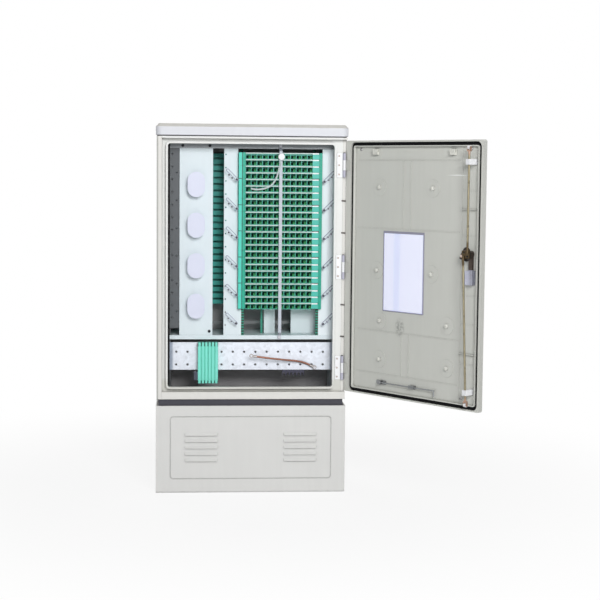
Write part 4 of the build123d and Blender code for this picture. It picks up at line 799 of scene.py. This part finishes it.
@dataclass
class Rack(Assembly):
    """Rack with its white panels, spools and fibre rings."""

    nodes = {
        "dark_sheet": ("rack_side_left",),
        "white_sheet": ("rack_side_right", "rack_shelf", "slack_panel", "wing_left"),
        "beam_zinc": ("rack_top_beam",),
        "spool_plastic": ("slack_spools",),
        "wing_sheet_painted_light": ("wing_right",),
        "ring_plastic": ("fibre_rings",),
        "shield_sheet": ("lower_shields",),
        "crossbar_sheet": ("rear_crossbars",),
    }
    soft_edges: Widths = (("slack_spools", 0.0006),)
    screw_radius: float = 0.0035
    screw_height: float = 0.0022
    screw_sides: int = 12
    screw_drop: float = 0.0082
    screw_step: float = 0.0085
    ring_half_width: float = 0.0065
    wing_split: float = 0.1
    clasp_size: Point = (0.0085, 0.0045, 0.0075)
    clasp_edge: float = 0.0008

    def build(self) -> None:
        """Dress the rack and add the screws and clasps of the rings."""
        super().build()
        self.ring_fittings()

    def ring_fittings(self) -> None:
        """Put two dark screws beside each fibre ring and a dark clasp at its lower end."""
        screws = Shape("ring_screws")
        clasps = Shape("ring_clasps")
        profile = screw_profile(self.screw_radius, self.screw_height)
        facing = Matrix.Rotation(radians(90), 4, "X")
        for low, high in islands("fibre_rings"):
            middle = (low + high) / 2
            way = 1 if middle.x < self.wing_split else -1
            reach = (high - low) / 2
            fall = Vector((way * (reach.x - self.ring_half_width), 0, self.ring_half_width - reach.z))
            along = fall.normalized()
            below = Vector((way * along.z, 0, -abs(along.x)))
            for step in (-self.screw_step, self.screw_step):
                spot = middle + below * self.screw_drop + along * step
                spot.y = high.y
                screws.turned(Matrix.Translation(spot) @ facing, profile, self.screw_sides)
            end = middle + fall
            end.y = low.y + self.clasp_size[1] / 2 - self.clasp_edge
            lean = Matrix.Rotation(along.angle(Vector((1, 0, 0))), 4, "Y")
            clasps.block(Matrix.Translation(end) @ lean, self.clasp_size, self.clasp_edge)
        screws.piece(Body.CABINET, self.finishes["dark_zinc"])
        clasps.piece(Body.CABINET, self.finishes["clasp_plastic"])


@dataclass
class TrayStack(Assembly):
    """Splice trays with their adapters, labels, rails and retaining bar."""

    nodes = {
        "tray_green": ("splice_trays_lower", "splice_trays_upper"),
        "label_card": ("label_strips",),
        "port_green": ("port_adapters",),
        "rail_teal": ("tray_rails",),
        "rear_green": ("rear_splice_store",),
        "bar_enamel": ("retaining_bar",),
        "white_nylon": ("bar_thumbscrew",),
        "tie_nylon": ("bar_tie",),
    }
    soft_edges: Widths = (("retaining_bar", 0.0005), ("bar_thumbscrew", 0.0006))


@dataclass
class CableBay(Assembly):
    """Cable compartment with the earth plate, tube guide, comb and earth lead."""

    nodes = {
        "galvanised": ("earth_plate",),
        "guide_green": ("tube_guide",),
        "comb_zinc_shaded": ("comb_bracket",),
        "copper": ("earth_lead",),
        "lug_tin": ("fixed_lug", "free_lug"),
    }
    route: tuple[Point, ...] = (
        (0.237, -0.081, 0.4975),
        (0.221, -0.081, 0.5055),
        (0.192, -0.086, 0.5135),
        (0.151, -0.095, 0.5185),
        (0.119, -0.103, 0.5225),
        (0.057, -0.112, 0.5305),
        (0.024, -0.112, 0.535),
    )
    lead_diameter: float = 0.008
    lead_length: float = 0.2201

    def build(self) -> None:
        """Dress the compartment and lay the earth lead."""
        super().build()
        self.earth_lead()

    def earth_lead(self) -> None:
        """Lay the copper lead between its two lugs."""
        curve = bpy.data.curves.new("copper_lead", "CURVE")
        curve.dimensions = "3D"
        curve.bevel_depth = self.lead_diameter / 2
        curve.bevel_resolution = 4
        curve.resolution_u = 10
        curve.use_fill_caps = True
        line = curve.splines.new("NURBS")
        line.points.add(len(self.route) - 1)
        for knot, place in zip(line.points, self.route):
            knot.co = (*place, 1)
        line.order_u = 3
        line.use_endpoint_u = True
        curve.materials.append(self.finishes["copper"])
        lead = put("copper_lead", curve)
        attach(lead, Body.CABINET.value)
        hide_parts("earth_lead")
        log.info("piece copper_lead on %s", Body.CABINET.value)


@dataclass(kw_only=True)
class Door(Assembly):
    """Door with its gasket, document pocket, brackets and hinge leaves."""

    nodes = {
        "door_compound_shaded": ("door_shell",),
        "gasket_rubber": ("door_gasket",),
        "leaf_enamel": ("door_hinge_leaves",),
        "pocket_film": ("document_pocket",),
        "blank_paper": ("document_sheet",),
        "bracket_steel": ("door_brackets", "door_stay"),
    }
    door: DoorFrame
    soft_edges: Widths = (("door_shell", 0.0009), ("door_gasket", 0.0025))
    panel_face: float = -0.020
    screw_places: Pairs = ((0.075, 1.356), (0.641, 1.357), (0.612, 0.444))
    screw_radius: float = 0.006
    screw_height: float = 0.003
    screw_sides: int = 16
    boss_face: float = -0.013
    boss_places: Pairs = (
        (0.188, 0.547),
        (0.188, 0.697),
        (0.169, 0.8915),
        (0.538, 0.547),
        (0.454, 0.8915),
        (0.536, 0.705),
        (0.177, 1.2115),
        (0.456, 1.2115),
    )
    insert_radius: float = 0.0065
    insert_height: float = 0.0018
    insert_sides: int = 20

    def build(self) -> None:
        """Dress the door and add its screws and the inserts of its bosses."""
        super().build()
        self.door_screws()
        self.boss_inserts()

    def door_screws(self) -> None:
        """Put the loose screws of the panel in place."""
        shape = Shape("door_screws")
        profile = screw_profile(self.screw_radius, self.screw_height)
        for out, height in self.screw_places:
            shape.turned(self.door.place(out, self.panel_face, height), profile, self.screw_sides)
        shape.piece(Body.DOOR, self.finishes["bright_steel"])

    def boss_inserts(self) -> None:
        """Set a domed insert with a hole into each boss of the panel."""
        shape = Shape("boss_inserts")
        profile = screw_profile(self.insert_radius, self.insert_height)
        for out, height in self.boss_places:
            shape.turned(self.door.place(out, self.boss_face, height), profile, self.insert_sides)
        shape.piece(Body.DOOR, self.finishes["insert_nylon"])


@dataclass(kw_only=True)
class LockGear(Assembly):
    """Lock, crank, rods, guides, rollers and outside handle."""

    nodes = {
        "white_nylon": ("rod_guides", "roller_upper", "roller_lower"),
        "lock_zinc": ("lock_body",),
        "dark_sheet": ("handle_plate", "handle"),
        "dark_zinc": ("lock_crank",),
        "yellow_zinc": ("rod_upper", "rod_lower"),
    }
    door: DoorFrame
    soft_edges: Widths = (("lock_crank", 0.0004), ("lock_body", 0.0005), ("handle", 0.0008))
    rivet_places: Pairs = ((0.648, 0.986), (0.627, 0.970))
    rivet_face: float = 0.011
    rivet_radius: float = 0.0052
    rivet_height: float = 0.00025
    rivet_sides: int = 20

    def build(self) -> None:
        """Dress the lock gear and add the rivets of the crank."""
        super().build()
        self.crank_rivets()

    def crank_rivets(self) -> None:
        """Set two flush rivets into the crank."""
        shape = Shape("crank_rivets")
        top = self.rivet_height
        edge = self.rivet_radius
        profile = ((0, top), (0.8 * edge, top), (edge, 0.4 * top), (edge, 0), (0, 0))
        for out, height in self.rivet_places:
            shape.turned(self.door.place(out, self.rivet_face, height), profile, self.rivet_sides)
        shape.piece(Body.LOCK, self.finishes["rivet_copper"])


@dataclass(frozen=True)
class Lamp:
    """A large soft lamp."""

    name: str
    place: Point
    aim: Point
    size: float
    power: float

    def hang(self) -> None:
        """Hang the lamp and turn it to its aim."""
        light = bpy.data.lights.new(self.name, "AREA")
        light.size = self.size
        light.energy = self.power
        made = put(self.name, light)
        made.location = self.place
        aim = Vector(self.aim) - Vector(self.place)
        made.rotation_euler = aim.to_track_quat("-Z", "Y").to_euler()


@dataclass
class Studio:
    """Pale floor, soft light and the camera of the photograph's view."""

    camera_place: Point = (-0.254, -5.942, 1.286)
    yaw: float = radians(4.39)
    pitch: float = radians(5.13)
    roll: float = radians(-0.54)
    lens: float = 88.92
    sensor: float = 36.0
    floor_reach: float = 9.0
    floor_near: float = 0.6
    floor_far: float = 2.2
    floor_glow: float = 0.86
    lamps: tuple[Lamp, ...] = (
        Lamp("soft_key", (1.0, -5.8, 3.0), (0.1, -0.1, 0.85), 2.0, 232.0),
        Lamp("soft_back", (-1.8, 5.2, 2.6), (0.0, 0.0, 0.8), 3.0, 110.0),
    )
    sky_low: float = 0.4
    sky_high: float = 0.2

    def build(self) -> None:
        """Set up floor, lamps, surroundings and camera."""
        self.floor()
        for lamp in self.lamps:
            lamp.hang()
        self.surroundings()
        self.camera()
        bpy.context.scene.view_settings.view_transform = "Standard"

    def floor(self) -> None:
        """Lay the pale floor."""
        reach = self.floor_reach
        data = bpy.data.meshes.new("floor")
        corners = [(-reach, -reach, 0), (reach, -reach, 0), (reach, reach, 0), (-reach, reach, 0)]
        data.from_pydata(corners, [], [(0, 1, 2, 3)])
        paint = Paint("pale_floor")
        white = paint.node("Emission", {"Color": (1, 1, 1, 1), "Strength": 1}).outputs[0]
        away = paint.node("VectorMath", {0: paint.place()}, operation="LENGTH").outputs["Value"]
        glow = paint.span(away, self.floor_near, self.floor_far, self.floor_glow, 1)
        share = paint.math("MULTIPLY", paint.seen_directly(), glow)
        pale = paint.mix(paint.noise(2), tone(236, 236, 236), tone(240, 240, 240))
        paint.lead(Base_Color=pale, Roughness=0.9, Specular_IOR_Level=0.0)
        both = paint.node("MixShader", {0: share, 1: paint.shader.outputs[0], 2: white}).outputs[0]
        paint.feed(paint.tree.nodes["Material Output"], {"Surface": both})
        data.materials.append(paint.material)
        put("floor", data)

    def surroundings(self) -> None:
        """Set the even light from all round, weaker from above, in front of white."""
        world = bpy.data.worlds.new("studio")
        world.use_nodes = True
        bpy.context.scene.world = world
        graph = Graph(world.node_tree)
        sky = world.node_tree.nodes["Background"]
        up = graph.node("SeparateXYZ", {0: graph.node("TexCoord").outputs["Generated"]}).outputs[2]
        soft = graph.span(up, 0.05, 0.9, self.sky_low, self.sky_high)
        strength = graph.math("MAXIMUM", soft, graph.seen_directly())
        graph.feed(sky, {"Color": (1, 1, 1, 1), "Strength": strength})

    def camera(self) -> None:
        """Stand the camera where the photograph was taken from."""
        data = bpy.data.cameras.new("camera")
        data.sensor_fit = "HORIZONTAL"
        data.sensor_width = self.sensor
        data.lens = self.lens
        tilt = Matrix.Rotation(pi / 2 - self.pitch, 4, "X") @ Matrix.Rotation(-self.roll, 4, "Z")
        turned = Matrix.Rotation(-self.yaw, 4, "Z") @ tilt
        made = put("camera", data)
        made.matrix_world = Matrix.Translation(self.camera_place) @ turned
        bpy.context.scene.camera = made


def housing_finishes() -> tuple[Finish, ...]:
    """Set the finishes of the plinth, the housing and the hinges.

    Returns:
        The finishes.
    """
    compound = tone(224, 223, 219)
    # Painted shade: the inner face of the back panel is darker, for the shade inside the cabinet.
    inner_face_shade = Zone(tone(184, 182, 184), Axis.INWARD, high=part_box("back_panel")[0].y + 0.001)
    # Painted shade along the outer edge of the left pillar, for its rounded corner turned from the light.
    outer_edge_shade = Zone(tone(170, 171, 167), Axis.ACROSS, high=-0.3655, fade=0.003)
    # Painted shade: the top of the roof is darker than its front.
    crown_shade = Zone(tone(216, 215, 210), Axis.UP, low=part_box("roof")[1].z - 0.0125, fade=0.002)
    # Painted shade: the lower part of the front lip is darker, against the light its upward face catches.
    low_lip_shade = Zone(tone(214, 214, 208), Axis.UP, high=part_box("front_frame")[0].z + 0.075, fade=0.01)
    # Painted shade: the hinge barrels are greyer than the white leaves, for the shade on their round sides.
    barrel_shade = Zone(tone(186, 186, 202), Axis.ACROSS, low=0.3545)
    hinge_row = Zone(tone(198, 184, 178), Axis.INWARD, high=-0.125)
    panel_bolt = Zone(tone(34, 34, 40), Axis.ACROSS, high=-0.05)
    screw_steel = tone(190, 190, 196)
    return (
        Moulded("plinth_compound", tone(218, 218, 216), mottle=0.06, gloss=0.42, dust=0.3, seam_shade=0.9),
        Moulded("housing_compound", compound, gloss=0.45, dust=0.25),
        Moulded("left_compound_edge_shade", compound, gloss=0.45, dust=0.25, zones=(outer_edge_shade,)),
        Moulded("sill_compound", compound, gloss=0.45, dust=0.25, seam_shade=0.2),
        Moulded("back_compound", compound, gloss=0.45, dust=0.25, zones=(inner_face_shade,)),
        Moulded("lip_compound", tone(230, 231, 229), 0.05, 0.04, 0.48, dust=0.25, zones=(low_lip_shade,), seam_shade=0.35),
        # The pale blue tint of the roof is a painted reflection of the sky; its top carries painted shade.
        Moulded("roof_compound_painted_light", tone(218, 220, 226), streaks=0.04, zones=(crown_shade,)),
        # Dark neck; on the top panel this dark is the painted shadow of the gap under the roof.
        Moulded("neck_dark_and_gap_shadow", tone(58, 58, 68), mottle=0.25, streaks=0.15, gloss=0.4, dust=0.4),
        Moulded("gasket_rubber", tone(12, 12, 16), 0.25, 0.1, gloss=0.2, dust=0.1, grain=0.2, shine=0.12),
        Moulded("buffer_rubber", tone(92, 88, 84), mottle=0.2, streaks=0.1, gloss=0.3, dust=0.1),
        Moulded("hinge_enamel", tone(245, 246, 248), gloss=0.55, dust=0.1, zones=(barrel_shade,)),
        Metal("pin_steel", tone(70, 70, 78), metallic=0.9),
        Metal("cabinet_screw", screw_steel, metallic=0.7, gloss=0.6, zones=(panel_bolt,), painted=hinge_row),
    )


def rack_finishes() -> tuple[Finish, ...]:
    """Set the finishes of the rack, its panels, spools and rings.

    Returns:
        The finishes.
    """
    post = Zone(tone(40, 140, 118), Axis.ACROSS, low=0.040, high=0.054)
    return (
        Moulded("dark_sheet", tone(84, 88, 92), mottle=0.15, streaks=0.1, dust=0.3),
        Moulded("crossbar_sheet", tone(130, 132, 134), mottle=0.12, streaks=0.1, dust=0.3),
        Moulded("white_sheet", tone(222, 233, 238), mottle=0.04, gloss=0.55),
        # Painted light: the right wing is whiter than the white sheet, to make up for the shade of the lip on it.
        Moulded("wing_sheet_painted_light", tone(236, 245, 250), mottle=0.04, gloss=0.55, seam_shade=0.3),
        Moulded("shield_sheet", tone(216, 226, 230), mottle=0.04, gloss=0.55, zones=(post,)),
        Moulded("spool_plastic", tone(218, 222, 240), mottle=0.04, streaks=0.03, gloss=0.6),
        Moulded("clasp_plastic", tone(46, 48, 58), mottle=0.2, streaks=0.1, dust=0.1),
        ClearPlastic("ring_plastic", tone(190, 196, 214), alpha=0.75),
        Metal("beam_zinc", tone(138, 142, 145), metallic=0.7, crystals=150, contrast=0.25),
    )


def stack_finishes() -> tuple[Finish, ...]:
    """Set the finishes of the trays and what holds them, from the size of the stack.

    Returns:
        The finishes.
    """
    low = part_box("splice_trays_lower")[0]
    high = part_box("splice_trays_upper")[1]
    width = high.x - low.x
    first = low.x + CELLS_START * width
    pitch = (CELLS_END - CELLS_START) * width / CELL_COUNT
    row = (high.z - low.z) / TRAY_ROWS
    # Strips across the stack: the trays' own greens, with painted shade in the dark strips near the left and right
    # edges.
    strips = (
        (0.0, tone(76, 210, 190)),
        (0.036, tone(10, 116, 98)),
        (0.048, tone(24, 184, 156)),
        (CELLS_START, tone(84, 198, 178)),
        (CELLS_END, tone(68, 188, 172)),
        (0.958, tone(6, 164, 138)),
    )
    label_end = Zone(tone(240, 248, 248), Axis.ACROSS, low=first + CELL_COUNT * pitch)
    label_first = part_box("label_strips")[0].z + LABEL_SHADE / 2 - row / 2
    card = tone(200, 217, 215)
    shadow = tone(60, 150, 125)
    shelf_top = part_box("rack_shelf")[1].z
    return (
        TrayGreen("tray_green", strips, tuple(low), tuple(high), rows=TRAY_ROWS),
        # Painted shade over the upper part of each adapter, with its green showing low on one side.
        PortGreen("port_green", tone(6, 36, 28), tone(78, 176, 112), first, pitch, base=low.z, row=row),
        Ribbed("label_card", card, shadow, Axis.UP, label_first, row, share=LABEL_SHADE / row, zones=(label_end,)),
        # Painted shade: dark lines between the ribs of the tray rails.
        Ribbed("rail_teal", tone(44, 160, 132), tone(6, 26, 22), Axis.UP, shelf_top, RAIL_PITCH, share=0.5),
        Moulded("rear_green", tone(58, 186, 174), mottle=0.25, streaks=0.15, dust=0.2),
        Moulded("bar_enamel", tone(190, 197, 207), mottle=0.06, streaks=0.06, gloss=0.55, dust=0.1),
        ClearPlastic("tie_nylon", tone(214, 226, 228), alpha=0.55, gloss=0.7),
    )


def bay_finishes() -> tuple[Finish, ...]:
    """Set the finishes of the cable compartment.

    Returns:
        The finishes.
    """
    low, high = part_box("tube_guide")
    left = high.x - GUIDE_WIDTH
    pitch = GUIDE_WIDTH / GUIDE_RIBS
    rib = tone(128, 228, 210)
    # Painted shade: the guide's grooves are a little darker than its ribs, and dark at their top and bottom ends.
    groove_shade = tone(108, 214, 194)
    ear = Zone(tone(60, 65, 80), Axis.ACROSS, high=left)
    tube_end_shade = (
        Zone(tone(10, 84, 68), Axis.UP, low=high.z - 0.015),
        Zone(tone(10, 84, 68), Axis.UP, high=low.z + 0.011),
    )
    # Painted shade at both ends of the earth plate, where the side flanges of the rack shade it.
    plate_end_shade = (
        Zone(tone(150, 160, 176), Axis.ACROSS, high=-0.309, fade=0.005),
        Zone(tone(150, 160, 176), Axis.ACROSS, low=0.319, fade=0.005),
    )
    return (
        Ribbed("guide_green", rib, groove_shade, Axis.ACROSS, left + pitch / 2, pitch, 0.3, tube_end_shade, (ear,), seam_shade=0.1),
        Metal("galvanised", tone(222, 227, 236), 0.3, 0.5, 90, contrast=0.25, dust=0.1, zones=plate_end_shade),
        # Painted shadow: the comb is coloured dark for the shade it lies in under the earth plate.
        Metal("comb_zinc_shaded", tone(62, 62, 76), 0.6, 0.5, 90, contrast=0.25, dust=0.2),
        Metal("copper", tone(150, 106, 90), 0.75, 0.5, 300, contrast=0.35, dust=0.1),
        Metal("lug_tin", tone(168, 162, 160), dust=0.1),
    )


def door_finishes(door: DoorFrame) -> tuple[Finish, ...]:
    """Set the finishes of the door, its pocket, its brackets and the lock gear.

    Args:
        door: the open door's directions, for the marks on it.

    Returns:
        The finishes.
    """
    smudge = Spot(tone(96, 98, 96), door.point(0.294, -0.020, 0.678), (0.032, 0.005, 0.046), door.turn, 0.6)
    scratch = Spot(tone(246, 248, 246), door.point(0.578, -0.020, 1.2612), (0.066, 0.005, 0.003), door.turn, 1.0, False)
    # Painted shade along a crease in the paper.
    fold_shade = Spot(tone(226, 232, 250), door.point(0.275, -0.018, 0.89), (0.03, 0.01, 0.6), door.turn, 0.5, False)
    # Painted shade on the free edge of the door's rim.
    free_edge_shade = Zone(tone(184, 185, 180), Axis.ACROSS, low=0.709, origin=tuple(door.hinge), turn=door.turn)
    leaf_side = Zone(tone(196, 197, 191), Axis.ACROSS, low=0.3675)
    hooks = Zone(tone(220, 220, 212), Axis.UP, low=1.2)
    strap = Zone(tone(84, 74, 68), Axis.UP, low=0.919)
    rod_ends = (
        Zone(tone(92, 78, 56), Axis.UP, low=0.935, high=1.022, fade=0.006),
        Zone(tone(178, 146, 128), Axis.UP, low=1.335, fade=0.01),
        Zone(tone(178, 146, 128), Axis.UP, high=0.455, fade=0.01),
    )
    # Real wear from the smudge and the scratch, and painted shade on the free edge.
    wear_and_shade = {"marks": (smudge, scratch), "zones": (free_edge_shade,)}
    white = tone(255, 255, 255)
    # The paper's painted glow, an emission that makes it brighter than its light.
    glow = tone(58, 68, 126)
    return (
        # Painted shade: the door's compound is darker than the housing's, for its inner face turned away from the
        # light.
        Moulded("door_compound_shaded", tone(208, 209, 203), 0.06, 0.06, gloss=0.45, dust=0.25, seam_shade=0.6, **wear_and_shade),
        Moulded("leaf_enamel", tone(240, 241, 244), dust=0.1, zones=(leaf_side,)),
        Moulded("insert_nylon", tone(232, 232, 224), streaks=0.03, dust=0.1, seam_shade=0.8),
        Moulded("blank_paper", white, 0.03, 0.03, 0.4, 0.0, 0.25, marks=(fold_shade,), seam_shade=0.0, painted_glow=glow),
        ClearPlastic("pocket_film", tone(168, 168, 186), alpha=0.74, gloss=0.8),
        Metal("bracket_steel", tone(150, 152, 154), metallic=0.85, crystals=180, contrast=0.35, painted=hooks),
        Moulded("white_nylon", tone(236, 237, 240), streaks=0.03, gloss=0.55),
        Metal("lock_zinc", tone(190, 192, 208), gloss=0.6, crystals=220, zones=(strap,)),
        Metal("yellow_zinc", tone(146, 138, 114), gloss=0.6, crystals=120, contrast=0.4, zones=rod_ends),
        Metal("dark_zinc", tone(64, 60, 58), gloss=0.5, crystals=160, contrast=0.5),
        Metal("bright_steel", tone(176, 174, 176), metallic=0.9, gloss=0.65),
        Metal("rivet_copper", tone(226, 206, 194), metallic=0.6, gloss=0.6, dust=0.0),
    )


def main() -> None:
    """Build the finishes, the sub-assemblies in order, and the studio."""
    logging.basicConfig(level=logging.INFO, format="%(name)s: %(message)s")
    door = open_door()
    inside = (*rack_finishes(), *stack_finishes(), *bay_finishes())
    wanted = (*housing_finishes(), *inside, *door_finishes(door))
    finishes = {finish.name: finish.material() for finish in wanted}
    Housing(finishes).build()
    Rack(finishes).build()
    TrayStack(finishes).build()
    CableBay(finishes).build()
    Door(finishes, door=door).build()
    LockGear(finishes, door=door).build()
    Studio().build()


if __name__ == "__main__":
    main()
